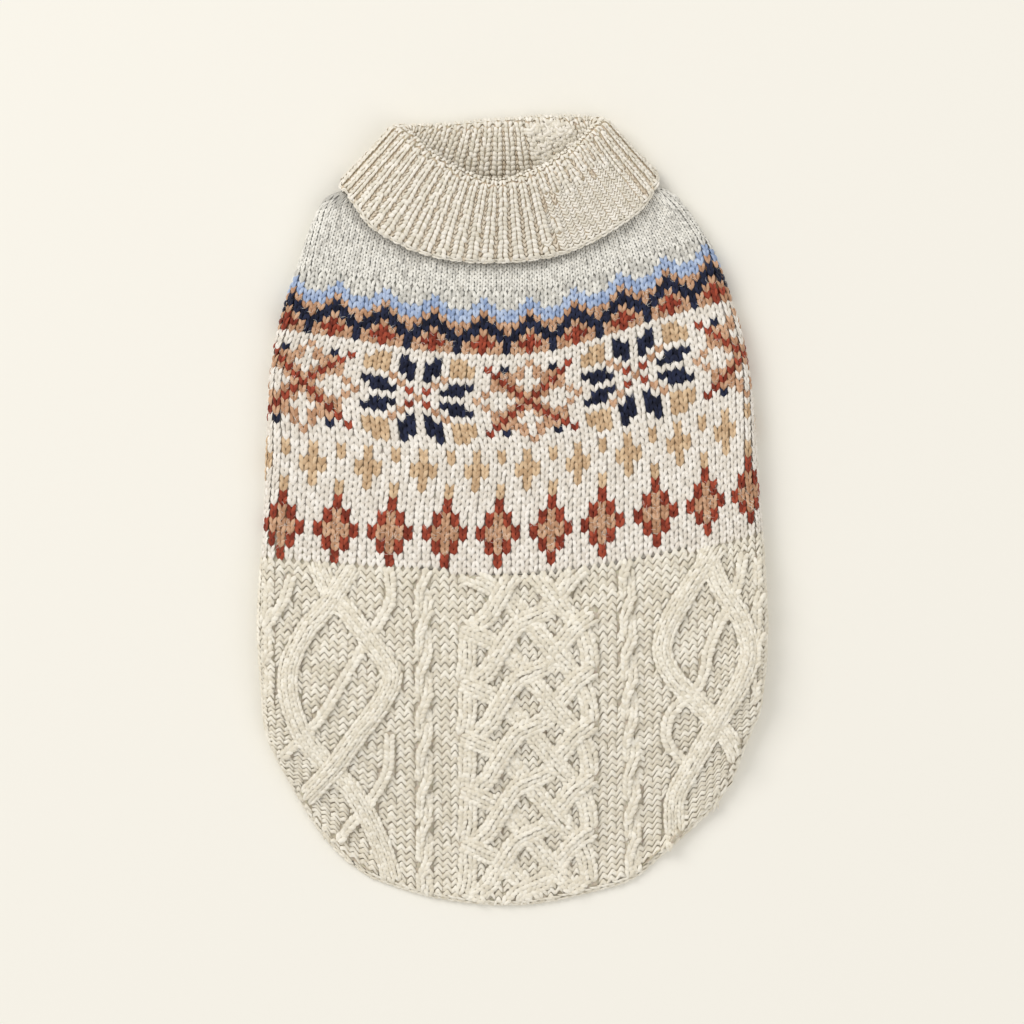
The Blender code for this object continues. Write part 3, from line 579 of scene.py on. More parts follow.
def paint_pattern(wall, outer, total):
    """Give the cloth between the stitches the colour of its yarn, a little darker as painted shade."""
    shades = np.array([srgb(*(PAINT_SHADE * np.array(YARN_TONES[n][1])))[:3] for n in YARN_NAMES])
    places = np.concatenate([knit_place(row, PAINTED_WALES) for row in PAINTED_ROWS])
    labels = np.array([yarn_at(row, wale) for row in PAINTED_ROWS for wale in PAINTED_WALES])
    flat = outer[..., :2].reshape(-1, 2)
    nearest = np.concatenate([
        np.argmin(((part[:, None] - places[None])**2).sum(-1), axis=1)
        for part in np.array_split(flat, PAINT_BATCHES)])
    colours = np.ones((2 * total, 4))
    colours[:total, :3] = shades[labels[nearest]]
    colours[total:, :3] = shades[0]
    layer = wall.data.attributes.new("yarn", "FLOAT_COLOR", "POINT")
    layer.data.foreach_set("color", colours.ravel())


def ground_wool(name, colour=None, attribute=None):
    """Yarn seen between the stitches; its colour, given darker than the yarn's own, is painted shade."""
    material = bpy.data.materials.new(name)
    material.use_nodes = True
    nodes, links = material.node_tree.nodes, material.node_tree.links
    shader = nodes["Principled BSDF"]
    place = nodes.new("ShaderNodeTexCoord")
    mottle = nodes.new("ShaderNodeTexNoise")
    mottle.inputs["Scale"].default_value = 500.0
    mottle.inputs["Detail"].default_value = 4.0
    links.new(place.outputs["Object"], mottle.inputs["Vector"])
    dim = nodes.new("ShaderNodeMix")
    dim.data_type = "RGBA"
    dim.blend_type = "MULTIPLY"
    dim.inputs["Factor"].default_value = 0.22
    links.new(mottle.outputs["Color"], dim.inputs["B"])
    if attribute:
        reader = nodes.new("ShaderNodeAttribute")
        reader.attribute_name = attribute
        links.new(reader.outputs["Color"], dim.inputs["A"])
    else:
        dim.inputs["A"].default_value = srgb(*colour)
    links.new(dim.outputs["Result"], shader.inputs["Base Color"])
    bump = nodes.new("ShaderNodeBump")
    bump.inputs["Strength"].default_value = 0.5
    bump.inputs["Distance"].default_value = 0.0006
    links.new(mottle.outputs["Fac"], bump.inputs["Height"])
    links.new(bump.outputs["Normal"], shader.inputs["Normal"])
    shader.inputs["Roughness"].default_value = 0.95
    shader.inputs["Specular IOR Level"].default_value = 0.1
    return material


CLOTH_ROWS = 110
CLOTH_COLUMNS = 150
# Both cloth walls are coloured darker than their yarn: painted shade between the stitches
yoke_cloth = cloth_wall("yoke_cloth", np.linspace(0.0, YOKE_SHARE, CLOTH_ROWS), CLOTH_COLUMNS, True)
yoke_cloth.data.materials.append(ground_wool("yoke_ground", attribute="yarn"))
skirt_cloth = cloth_wall("skirt_cloth", np.linspace(SKIRT_SHARE, 1.0, CLOTH_ROWS), CLOTH_COLUMNS, False)
skirt_cloth.data.materials.append(ground_wool("skirt_ground", colour=(0.84, 0.80, 0.72)))
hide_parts("back_yoke")
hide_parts("back_skirt")
for cloth, slot_name in ((yoke_cloth, "patterned_knit"), (skirt_cloth, "cable_knit")):
    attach(cloth, "root")

# ------------------------------------------------------------------ yoke: the knit stitches
# Every stocking-stitch loop shows two plump legs that meet in a point below, like the letter V.
# Yarns in several colours are carried along the rows to make the zigzag, the stars and the
# diamonds, and the plain oatmeal top above them is knitted finer.
WRAP_PITCH = 4.2          # width of a stitch where the knitting turns round the sides
PRESSED_STITCHES = (-1.2, 1.0, 0.05)   # loops between two heights are squeezed up from the third
WRAP_REACH = 24.0         # a row wraps round a side if it comes this near to the edge
TOP_REACH = 0.8           # share of the side's radius where a row leaves the top
CORNERS = (0.012, 0.985)  # past these shares of the edge most rows end at the neck or the hem
CORNER_REACH = 1.5        # a row there wraps only if it comes this near to the rounded side
TURN_STEPS, RUN_STEPS = 18, 4          # steps of a row round a side, and on the way to it
LEAST_OUTWARD = 0.4       # a row counts as heading at least this much toward the side
FEWEST_PLACES = 4         # a row with fewer places on the top isn't knitted
WIDEST_GAP = 1.5          # a row breaks off where it misses more wales than this
LEG_PATH = np.array([     # across in stitch widths, down in row heights, out in millimetres
    (0.06, 0.70, -0.25), (0.135, 0.36, 0.24), (0.23, -0.03, 0.46), (0.305, -0.44, 0.34),
    (0.35, -0.82, -0.30),
])
LEG_HALF_WIDTH = np.array([0.06, 0.175, 0.235, 0.215, 0.07])
LEG_RISE = np.array([0.20, 0.55, 0.74, 0.60, 0.20])
SECTION = np.radians([-82.0, -28.0, 28.0, 82.0])   # where the points of a yarn's round top lie
YARN_POINTS = len(SECTION)
HALF_WALES = np.arange(-16.0, 41.01, 0.5)   # wales and the gaps between them on the flat top
edge_samples = np.linspace(0.0, 1.0, 900)
dense_edges = {1: left_edge(edge_samples), -1: right_edge(edge_samples)}


def nearest_share(x, y, side):
    """Share along a side edge nearest to a place, and the distance to it."""
    away = np.hypot(dense_edges[side][:, 0] - x, dense_edges[side][:, 1] - y)
    best = int(np.argmin(away))
    return edge_samples[best], away[best]


def side_wrap(x, y, side, heading):
    """Points and normals from a place on the top round the side's fold to the lip's end."""
    share, away = nearest_share(x, y, side)
    edge = left_edge if side > 0 else right_edge
    radius = float(body("side", share)) / 2.0
    in_corner = not CORNERS[0] < share < CORNERS[1]
    if away > WRAP_REACH or in_corner and away > radius + CORNER_REACH:
        return None
    lip = float(body("lip", share))
    first = math.acos(max(0.0, 1.0 - away / radius))
    angles = np.linspace(first, -math.pi / 2.0, TURN_STEPS + 1)[1:]
    insets = radius * (1.0 - np.cos(angles))
    heights = radius * (1.0 + np.sin(angles))
    travel = max(away - radius, 0.0) + radius * (first - angles)
    if away > radius:
        run = np.linspace(away, radius, RUN_STEPS + 1)[1:]
        insets = np.concatenate([run, insets])
        heights = np.concatenate([np.full(RUN_STEPS, 2.0 * radius), heights])
        travel = np.concatenate([away - run, travel])
        angles = np.concatenate([np.full(RUN_STEPS, math.pi / 2.0), angles])
    insets = np.append(insets, radius + lip)
    heights = np.append(heights, 0.0)
    travel = np.append(travel, travel[-1])
    angles = np.append(angles, -math.pi / 2.0)
    # The row keeps its slant as it turns under
    ahead, behind = edge(np.array([min(share + 0.01, 1.0), max(share - 0.01, 0.0)]))
    along = unit(ahead - behind)
    outward = -inward(edge, np.array([share]), side)[0]
    slip = np.clip(heading @ along / max(heading @ outward, LEAST_OUTWARD), -1.0, 1.0)
    shares = np.clip(share + slip * travel / edge.length, 0.0, 1.0)
    into = inward(edge, shares, side)
    points = np.column_stack([edge(shares) + into * insets[:, None], heights])
    return points, np.column_stack([-into * np.cos(angles)[:, None], np.sin(angles)])


def knit_row(row, wales):
    """Points and normals of one row at the given wales, right round both sides."""
    flat = knit_place(row, HALF_WALES)
    height = top_height(flat[:, 0], flat[:, 1])
    keep = ~np.isnan(height)
    for side in (1, -1):
        found = np.array([nearest_share(x, y, side) for x, y in flat])
        keep &= found[:, 1] > TOP_REACH * body("side", found[:, 0]) / 2.0
    places = np.full((len(wales), 3), np.nan)
    normals = np.full((len(wales), 3), np.nan)
    if keep.sum() < FEWEST_PLACES:
        return places, normals
    kept = np.flatnonzero(keep)
    points = np.column_stack([flat, height])[kept]
    outs = np.tile([0.0, 0.0, 1.0], (len(kept), 1))
    counts = HALF_WALES[kept]
    for side, at, within in ((1, 0, 2), (-1, -1, -3)):
        heading = unit(flat[kept[at]] - flat[kept[within]])
        wrap = side_wrap(*flat[kept[at]], side, heading)
        if wrap is None:
            continue
        steps = np.linalg.norm(np.diff(np.vstack([points[at], wrap[0]]), axis=0), axis=1)
        along = np.cumsum(steps) / WRAP_PITCH
        if side > 0:
            points = np.vstack([wrap[0][::-1], points])
            outs = np.vstack([wrap[1][::-1], outs])
            counts = np.concatenate([(counts[0] - along)[::-1], counts])
        else:
            points = np.vstack([points, wrap[0]])
            outs = np.vstack([outs, wrap[1]])
            counts = np.concatenate([counts, counts[-1] + along])
    cell = np.clip(np.searchsorted(counts, wales, "right") - 1, 0, len(counts) - 2)
    inside = (wales >= counts[0]) & (wales <= counts[-1]) & (counts[cell + 1] - counts[cell] < WIDEST_GAP)
    for axis in range(3):
        places[inside, axis] = np.interp(wales[inside], counts, points[:, axis])
        normals[inside, axis] = np.interp(wales[inside], counts, outs[:, axis])
    return places, normals


def knit_field(rows, wales):
    """Stitch places with their directions: down the wale, across the row and outward."""
    places, normals = zip(*[knit_row(row, wales) for row in rows])
    places, normals = np.array(places), np.array(normals)
    down, across = np.full_like(places, np.nan), np.full_like(places, np.nan)
    for field, axis in ((down, 0), (across, 1)):
        ahead = np.roll(places, -1, axis) - places
        behind = places - np.roll(places, 1, axis)
        last = [slice(None)] * 2
        last[axis] = -1
        first = [slice(None)] * 2
        first[axis] = 0
        ahead[tuple(last)] = np.nan
        behind[tuple(first)] = np.nan
        both = np.stack([ahead, behind])
        known = ~np.isnan(both[..., :1])
        field[...] = np.where(known, both, 0.0).sum(0) / np.maximum(known.sum(0), 1)
        field[known.sum(0)[..., 0] == 0] = np.nan
    step = rows[1] - rows[0]
    return places, unit(normals), down / step, across


def tube(path, half_width, rise, sideways=True):
    """Rounded upper half of a yarn along a short path, as rings of four points."""
    rings = []
    for (a, b, n), half, height in zip(path, half_width, rise):
        for angle in SECTION:
            shift, lift = half * math.sin(angle), height * math.cos(angle)
            rings.append((a + shift, b, n + lift) if sideways else (a, b + shift, n + lift))
    return np.array(rings)


rng = np.random.default_rng(7)
STRAY = np.array([0.035, 0.035, 0.0525])   # how far a loop strays across, down and out


def place_yarn(shape, points, across, down, out, swell=0.05):
    """Copies of one yarn shape, one for each stitch, each a little different."""
    count = len(points)
    size = 1.0 + swell * rng.standard_normal((count, 1, 1))
    local = shape[None] * np.concatenate([size, np.ones_like(size), size], -1)
    local = local + STRAY * rng.standard_normal((count, 1, 3))
    return (points[:, None] + local[..., :1] * across[:, None] + local[..., 1:2] * down[:, None]
            + local[..., 2:] * out[:, None])


def pressed(points):
    """Stitches next to the table are pressed flat on it."""
    low, high, rest = PRESSED_STITCHES
    height = points[:, 2]
    squeezed = rest + np.maximum(height - low, 0.0) * (high - rest) / (high - low)
    points[:, 2] = np.where(height < high, squeezed, height)
    return points


TONE_MEAN, TONE_SPREAD, TONE_MOST = 0.30, 0.13, 0.6   # how light the yarn of a loop is
CELL_MARGIN = 0.15        # empty border of each loop's cell in the colour map


def stitches_mesh(name, groups, material, shade=0.0):
    """One mesh of many yarn pieces; each keeps a cell of its own in the colour map."""
    points, faces, tones, cells, start = [], [], [], [], 0
    total = sum(len(placed) for placed, quads in groups)
    side = math.ceil(math.sqrt(total))
    number = 0
    for placed, quads in groups:
        count, size = placed.shape[:2]
        points.append(placed.reshape(-1, 3))
        offsets = start + np.arange(count)[:, None, None] * size
        faces.append((quads[None] + offsets).reshape(-1, 4))
        tone = np.clip(TONE_MEAN + TONE_SPREAD * rng.standard_normal(count), 0, TONE_MOST) - shade
        tones.append(np.repeat(tone, size))
        along = (np.arange(size) // YARN_POINTS) / (size // YARN_POINTS - 1)
        around = (np.arange(size) % YARN_POINTS) / (YARN_POINTS - 1)
        index = number + np.arange(count)
        u = (index % side)[:, None] + CELL_MARGIN + (1.0 - 2.0 * CELL_MARGIN) * around[None]
        v = (index // side)[:, None] + CELL_MARGIN + (1.0 - 2.0 * CELL_MARGIN) * along[None]
        cells.append(np.stack([u, v], -1).reshape(-1, 2) / side)
        start += count * size
        number += count
    points, faces = np.concatenate(points), np.concatenate(faces)
    piece = add_mesh(name, pressed(points), faces)
    tone = piece.data.attributes.new("tone", "FLOAT", "POINT")
    tone.data.foreach_set("value", np.concatenate(tones).astype(np.float32))
    layer = piece.data.uv_layers.new(name="OFBake")
    layer.data.foreach_set("uv", np.concatenate(cells)[faces.ravel()].ravel().astype(np.float32))
    piece.data.materials.append(material)
    return piece


def legs_of(leg, points, across, down, out, swell=0.05):
    """Both legs of many loops, one the mirror image of the other, with their faces."""
    quads = grid_quads(len(leg) // YARN_POINTS, YARN_POINTS)
    mirror = leg * np.array([-1.0, 1.0, 1.0])
    return [(place_yarn(leg, points, across, down, out, swell), quads),
            (place_yarn(mirror, points, across, down, out, swell), quads[:, ::-1])]


def joined(parts):
    """The same columns of several groups of stitches, one group after another."""
    return [np.concatenate(columns) for columns in zip(*parts)]


knit_leg = tube(LEG_PATH, LEG_HALF_WIDTH, LEG_RISE)
YOKE_ROWS = np.arange(0, 46)
WALES = np.arange(-24, 50)
FINE = 0.7                # size of the plain top's stitches beside those of the pattern
TOP_ROWS = np.arange(-22.0, -0.3, FINE)
TOP_WALES = np.arange(-24.0, 49.0, FINE)
# Row of the plain top that lies under the collar's free edge, by wale
COLLAR_EDGE = np.array([
    (-13.0, -14.0), (-8.0, -9.8), (-2.5, -6.8), (9.0, -6.3), (18.0, -6.5), (27.0, -8.2), (31.0, -11.0)])
COLLAR_SHADOW_ROWS = (3.2, 3.0)   # rows below that edge where the painted shadow ends, and rows it fades over
COLLAR_SHADOW_WALES = (30.0, 14.0)   # wale where the painted shadow ends at the right, and wales it fades over
COLLAR_SHADOW_DEPTH = 0.45      # how much darker the painted shadow makes the yarn's tone
HEATHER_LIFT = 0.12       # how much lighter the rest of the plain top is
SEAM_OVERLAP = 1.0        # the yoke's stitches run this far past the skirt's top edge


def on_the_yoke(places, outs, downs, acrosses):
    """Which stitches are known in full and lie above the skirt."""
    whole = ~np.isnan(places + outs + downs + acrosses).any(-1)
    edge = np.interp(places[..., 0], SKIRT_TOP[:, 0], SKIRT_TOP[:, 1])
    return whole & (edge < places[..., 1] + SEAM_OVERLAP)


top_places, top_outs, top_downs, top_acrosses = knit_field(TOP_ROWS, TOP_WALES)
top_downs *= FINE
on_top = on_the_yoke(top_places, top_outs, top_downs, top_acrosses)
# Painted shadow: the yarn's tone is made darker close under the collar, on the left and in the middle,
# where the collar shades the yoke; the rest of the plain top is a little lighter
collar_shadow_reach = np.interp(TOP_WALES, *COLLAR_EDGE.T)[None] + COLLAR_SHADOW_ROWS[0] - TOP_ROWS[:, None]
collar_shadow_side = ease((COLLAR_SHADOW_WALES[0] - TOP_WALES) / COLLAR_SHADOW_WALES[1])
tone_lift_and_collar_shadow = COLLAR_SHADOW_DEPTH * ease(collar_shadow_reach / COLLAR_SHADOW_ROWS[1]) * collar_shadow_side - HEATHER_LIFT

places, outs, downs, acrosses = knit_field(YOKE_ROWS, WALES)
on_yoke = on_the_yoke(places, outs, downs, acrosses)
chart = np.array([[yarn_at(row, wale) for wale in WALES] for row in YOKE_ROWS])
yoke_pieces = []
for number, yarn_name in enumerate(YARN_NAMES):
    chosen = on_yoke & (chart == number)
    found = [field[chosen] for field in (places, acrosses, downs, outs)]
    yoke_pieces.append(stitches_mesh(
        "yoke_stitches_" + yarn_name, legs_of(knit_leg, *found), yarn_materials[yarn_name]))
# The plain top's loops carry the painted shadow under the collar in their tone
found = [field[on_top] for field in (top_places, top_acrosses, top_downs, top_outs)]
yoke_pieces.append(stitches_mesh(
    "yoke_stitches_plain_top", legs_of(knit_leg * np.array([1.0, 1.0, FINE]), *found),
    yarn_materials["oatmeal"], tone_lift_and_collar_shadow[on_top]))

# Fine hairs of the wool stand out from the stitches and lie across them
FIBRE_HALF_WIDTH = 0.055
FIBRE_LENGTHS = (1.5, 4.5)
FIBRE_BOW = 0.35          # most that a hair bows sideways, as a share of its length
FIBRE_HEIGHTS = (0.9, 1.7)
FIBRE_RINGS = (           # share of the length, height, share of the width
    (-0.5, -0.75, 0.3), (-0.17, 0.1, 1.0), (0.17, 0.1, 1.0), (0.5, -0.75, 0.3),
)
OFF_GRAIN = np.array([0.3, 0.9, 0.2])   # any direction that no stitch faces


def stray_fibres(name, points, outs, material):
    """Short curved hairs, each three thin quads, over the given places."""
    count = len(points)
    turn = rng.uniform(0.0, math.pi, count)
    side = unit(np.cross(outs, OFF_GRAIN))
    ahead = side * np.cos(turn)[:, None] + np.cross(outs, side) * np.sin(turn)[:, None]
    aside = np.cross(outs, ahead)
    length = rng.uniform(*FIBRE_LENGTHS, count)[:, None]
    bow = rng.uniform(-FIBRE_BOW, FIBRE_BOW, count)[:, None] * length
    base = points + outs * rng.uniform(*FIBRE_HEIGHTS, count)[:, None]
    rings = []
    for step, rise, thick in FIBRE_RINGS:
        spot = base + ahead * length * step + aside * bow * (1.0 - 4.0 * step**2) + outs * rise
        for edge in (-1.0, 1.0):
            rings.append(spot + aside * FIBRE_HALF_WIDTH * thick * edge)
    placed = np.stack(rings, 1)
    quads = np.array([(0, 1, 3, 2), (2, 3, 5, 4), (4, 5, 7, 6)])
    faces = (quads[None] + np.arange(count)[:, None, None] * len(rings)).reshape(-1, 4)
    piece = add_mesh(name, placed.reshape(-1, 3), faces)
    side_cells = math.ceil(math.sqrt(count))
    cell = np.stack([np.arange(count) % side_cells, np.arange(count) // side_cells], 1)
    corner = np.array([(u, v) for v in (0.2, 0.4, 0.6, 0.8) for u in (0.2, 0.8)])
    places = (cell[:, None] + corner[None]).reshape(-1, 2) / side_cells
    layer = piece.data.uv_layers.new(name="OFBake")
    layer.data.foreach_set("uv", places[faces.ravel()].ravel().astype(np.float32))
    piece.data.materials.append(material)
    return piece


def fibre_wool(name, colour):
    """Fine pale hair, a little darker here and there."""
    material = bpy.data.materials.new(name)
    material.use_nodes = True
    nodes, links = material.node_tree.nodes, material.node_tree.links
    shader = nodes["Principled BSDF"]
    place = nodes.new("ShaderNodeTexCoord")
    mottle = nodes.new("ShaderNodeTexNoise")
    mottle.inputs["Scale"].default_value = 200.0
    links.new(place.outputs["Object"], mottle.inputs["Vector"])
    ramp = nodes.new("ShaderNodeValToRGB")
    ramp.color_ramp.elements[0].position = 0.35
    ramp.color_ramp.elements[0].color = srgb(*(0.86 * np.array(colour)))
    ramp.color_ramp.elements[1].position = 0.6
    ramp.color_ramp.elements[1].color = srgb(*colour)
    links.new(mottle.outputs["Fac"], ramp.inputs["Fac"])
    links.new(ramp.outputs["Color"], shader.inputs["Base Color"])
    shader.inputs["Roughness"].default_value = 0.9
    shader.inputs["Specular IOR Level"].default_value = 0.1
    return material


pale_fibre = fibre_wool("pale_fibre", (0.98, 0.96, 0.92))
FIBRE_SPREAD = 2.0        # most that a hair strays from its stitch
FACES_UP = 0.3            # hairs lie only where the knitting faces up at least this much
YOKE_HAIRS, TOP_HAIRS, SKIRT_HAIRS = 4600, 900, 9000


def scatter(places, outs, mask, count):
    """Random places near the stitches that a mask picks out."""
    spots = np.argwhere(mask)
    chosen = spots[rng.integers(0, len(spots), count)]
    at = tuple(chosen.T)
    stray = rng.uniform(-FIBRE_SPREAD, FIBRE_SPREAD, (count, 3))
    return places[at] + stray * np.array([1.0, 1.0, 0.0]), outs[at]


pale_yarns = [YARN_NAMES.index(yarn_name) for yarn_name in ("cream", "camel", "oatmeal")]
pale = on_yoke & (outs[..., 2] > FACES_UP) & np.isin(chart, pale_yarns)
spots = [scatter(places, outs, pale, YOKE_HAIRS),
         scatter(top_places, top_outs, on_top & (top_outs[..., 2] > FACES_UP), TOP_HAIRS)]
yoke_pieces.append(stray_fibres("yoke_fibres", *joined(spots), pale_fibre))
for stitches in yoke_pieces:
    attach(stitches, "root")

# ------------------------------------------------------------------ skirt: purl ground
# Between the cables the wrong side of the knitting faces out, in wavy rows of small bumps. It
# is the same cream wool as the cables, and is knitted in one piece with them.
PURL_PATH = np.array([
    (-0.53, 0.40, -0.10), (-0.34, 0.18, 0.22), (-0.15, -0.17, 0.42), (0.0, -0.32, 0.46),
    (0.15, -0.17, 0.42), (0.34, 0.18, 0.22), (0.53, 0.40, -0.10),
])
PURL_HALF_WIDTH = np.array([0.34, 0.42, 0.46, 0.44, 0.46, 0.42, 0.34])
PURL_RISE = np.array([0.5, 0.75, 0.85, 0.85, 0.85, 0.75, 0.5])
PURL_CLEAR = 1.1          # purl bumps stop where a rope stands this high
SKIRT_ROWS = np.arange(40, 94)
purl_loop = tube(PURL_PATH, PURL_HALF_WIDTH, PURL_RISE, sideways=False)
purl_quads = grid_quads(len(PURL_PATH), YARN_POINTS)[:, ::-1]
places, outs, downs, acrosses = knit_field(SKIRT_ROWS, WALES)
whole = ~np.isnan(places + outs + downs + acrosses).any(-1)
relief = skirt_relief(*np.moveaxis(np.nan_to_num(places[..., :2]), -1, 0)) * rope_fade(outs)
skirt_edge = np.interp(places[..., 0], SKIRT_TOP[:, 0], SKIRT_TOP[:, 1])
inside_skirt = skirt_edge >= places[..., 1] + SEAM_OVERLAP
chosen = whole & inside_skirt & (relief < PURL_CLEAR)
raised = places[chosen] + outs[chosen] * relief[chosen][:, None]
purls = [(place_yarn(purl_loop, raised, acrosses[chosen], downs[chosen], outs[chosen]), purl_quads)]
skirt_wool = wool("skirt_wool", (0.99, 0.97, 0.92), (0.91, 0.88, 0.81), (0.80, 0.72, 0.59))
purl_piece = stitches_mesh("skirt_purl_ground", purls, skirt_wool)

# ------------------------------------------------------------------ skirt: cables and twists
# The raised ropes are one to three wales of plain stitches wide. They cross over and under one
# another in a middle braid, two side diamonds and narrow twists, and end in the hem.
ROPE_STEP = 2.45          # length of a stitch along a rope
UNDER_LIMIT = 0.35        # a stitch this far below another rope is hidden by it
ROPE_WALES = {            # places and widths of the wales across a rope, by its half width
    5.0: ((-3.3, 0.0, 3.3), 3.7),
    BRAID_HALF_WIDTH: ((-2.3, 2.3), 4.7),
    3.0: ((0.0,), 5.4),
}
ROPE_MARGIN = 0.3         # the outer wales' stitches stand this far inside the rope's own edge
ROPE_SLOPE = 0.7          # how far the stitches lean outward with the rope's round top
ROPE_LIFT = 0.1           # height of the stitches over the rope
ROPE_SWELL = 0.07         # loops of the ropes and ribs differ more in size than the others
ROPE_LEG_PATH = np.array([
    (0.09, 0.85, -0.25), (0.165, 0.42, 0.22), (0.25, -0.04, 0.40), (0.31, -0.52, 0.30),
    (0.35, -0.98, -0.25),
])
ROPE_LEG_HALF_WIDTH = np.array([0.08, 0.20, 0.25, 0.235, 0.09])
rope_leg = tube(ROPE_LEG_PATH, ROPE_LEG_HALF_WIDTH, LEG_RISE)
ROPES_START = 0.15        # rope stitches start where the ropes have this share of their height
ROPE_EDGE = 3.0           # rope stitches end this far from a side edge


def clear_of_sides(x, y):
    """Which places lie on the flat top, and not on the round of a side."""
    near = np.array([[nearest_share(a, b, side) for side in (1, -1)] for a, b in zip(x, y)])
    return ((near[..., 1] > ROPE_EDGE) | (near[..., 0] > CORNERS[1])).all(axis=1)


def rope_stitches(points, half_width):
    """Places and directions of the plain stitches along one rope."""
    line = Line(points)
    count = max(2, int(line.length / ROPE_STEP))
    share = np.linspace(0.0, 1.0, count)
    centre = line(share)
    ahead = unit(line(np.minimum(share + 0.01, 1.0))[:, :2] - line(np.maximum(share - 0.01, 0.0))[:, :2])
    aside = np.stack([-ahead[:, 1], ahead[:, 0]], 1)
    offsets, width = ROPE_WALES[half_width]
    found = []
    for offset in offsets:
        x, y = (centre[:, :2] + aside * offset).T
        ground = top_height(x, y)
        keep = ~np.isnan(ground)
        if keep.sum() < 3:      # the rope lies past the hem
            continue
        x, y, ground, lift = x[keep], y[keep], ground[keep], centre[keep, 2]
        reach = half_width + ROPE_MARGIN
        own = own_relief(np.full(len(x), offset), reach, ROPE_HEIGHT, lift) * below_yoke(x, y)
        other = skirt_relief(x, y)
        shown = (own > other - UNDER_LIMIT) & (below_yoke(x, y) > ROPES_START) & clear_of_sides(x, y)
        own = np.minimum(own, RELIEF_SHARE * ground)
        slope = ROPE_SLOPE * own * offset / (reach**2 - offset**2)
        side = np.column_stack([aside[keep], np.zeros(len(x))])
        out = unit(np.array([0.0, 0.0, 1.0]) + side * slope[:, None])
        along = np.column_stack([ahead[keep], np.gradient(ground + own) / ROPE_STEP])
        across = unit(np.cross(unit(along), out))
        place = np.column_stack([x, y, ground + own + ROPE_LIFT])
        found.append([part[shown] for part in (place, across * width, along * ROPE_STEP, out)])
    return joined(found)


rope_parts = [rope_stitches(points, half_width) for points, half_width in all_ropes()]
rope_parts = [parts for parts in rope_parts if parts]


TWIST_OFFSET = 2.1        # each wale of a pair runs this far from the pair's middle
TWIST_CROSSING = 5.0      # half the length of a crossing
TWIST_HIDDEN = 4.0        # half the length of the under wale that a crossing hides
TWIST_WALE = 4.4          # width of a wale
TWIST_SWING = 0.42        # sideways run of the wales at a crossing
TWIST_LIFT = 0.35         # the over wale's height over the under one
TWIST_LOWEST = 0.55       # least height over the ground
TWISTS_START = 0.2
HEM_DEPTH = -200.0        # y below the whole hem


def twist_stitches(x_top, x_hem, y_first, pitch):
    """A pair of wales that run side by side and change places at each crossing."""
    parts = []
    y = np.arange(y_first + 2.0 * pitch, HEM_DEPTH, -ROPE_STEP)
    middle = x_top + (x_hem - x_top) * (y_first - y) / TWIST_LENGTH
    phase = (y - y_first) / pitch
    along = (phase - np.round(phase)) * pitch
    crossing = np.abs(along) < TWIST_CROSSING
    swing = np.where(crossing, np.clip(along / TWIST_CROSSING, -1.0, 1.0), -1.0)
    for turn, lift in ((1.0, TWIST_LIFT), (-1.0, 0.0)):
        x = middle + TWIST_OFFSET * turn * swing
        ground = top_height(x, y)
        shown = ~np.isnan(ground) & (below_yoke(x, y) > TWISTS_START) & clear_of_sides(x, y)
        if turn < 0:
            shown &= np.abs(along) > TWIST_HIDDEN
        relief = np.minimum(skirt_relief(x, y), RELIEF_SHARE * np.nan_to_num(ground, nan=0.0))
        height = ground + np.maximum(relief, TWIST_LOWEST) + lift
        lean = np.where(crossing, TWIST_SWING * turn, 0.0)
        down = np.column_stack([-lean, -np.ones_like(x), np.zeros_like(x)]) * ROPE_STEP
        across = np.column_stack([-np.ones_like(x), lean, np.zeros_like(x)]) * TWIST_WALE
        out = np.tile([0.0, 0.0, 1.0], (len(x), 1))
        place = np.column_stack([x, y, height])
        parts.append([part[shown] for part in (place, across, down, out)])
    return joined(parts)


rope_parts += [twist_stitches(*twist) for twist in TWISTS]
cable_legs = legs_of(rope_leg, *joined(rope_parts), ROPE_SWELL)
cable_piece = stitches_mesh("skirt_cables", cable_legs, skirt_wool)

# ------------------------------------------------------------------ skirt: cast-off hem
# The tail hem is bound off in chain loops of the skirt's own wool. They lie along the edge in
# two rows, one on top and one facing out.
CHAIN_STEP = 4.1
CHAIN_WIDTH = 3.6
CHAIN_START = 0.78        # the chain starts and ends at this share of the side edges
HEM_ROWS = (              # depth inside the edge, share of the cloth's height, lean outward
    (1.3, 0.80, 0.8),
    (0.6, 0.36, 6.0),
)
HEM_HEIGHTS = (2.4, 6.0)  # the cloth's height where none is found, and the most it may be
rim = np.vstack([left_edge(np.linspace(CHAIN_START, 1.0, 60))[:-1], hem_edge(np.linspace(0.0, 1.0, 80)),
                 right_edge(np.linspace(1.0, CHAIN_START, 60))[1:]])
rim_line = Line(rim)
share = (np.arange(int(rim_line.length / CHAIN_STEP)) + 0.5) * CHAIN_STEP / rim_line.length
flat = rim_line(share)
ahead = unit(rim_line(share + 0.003) - rim_line(share - 0.003))
into = np.stack([-ahead[:, 1], ahead[:, 0]], 1)
ground = top_height(*(flat + into * HEM_ROWS[0][0]).T)
ground = np.where(np.isnan(ground), HEM_HEIGHTS[0], np.minimum(ground, HEM_HEIGHTS[1]))
chains = []
for depth, level, lean in HEM_ROWS:
    place = np.column_stack([flat + into * depth, ground * level])
    out = unit(np.column_stack([-into * lean, np.ones(len(flat))]))
    down = np.column_stack([ahead * CHAIN_STEP, np.zeros(len(flat))])
    chains.append((place, np.cross(unit(down), out) * CHAIN_WIDTH, down, out))
hem_piece = stitches_mesh("skirt_hem_chain", legs_of(knit_leg, *joined(chains)), skirt_wool)
skirt_places = places + outs * relief[..., None]
on_skirt = whole & inside_skirt & (outs[..., 2] > FACES_UP)
spots = scatter(skirt_places, outs, on_skirt, SKIRT_HAIRS)
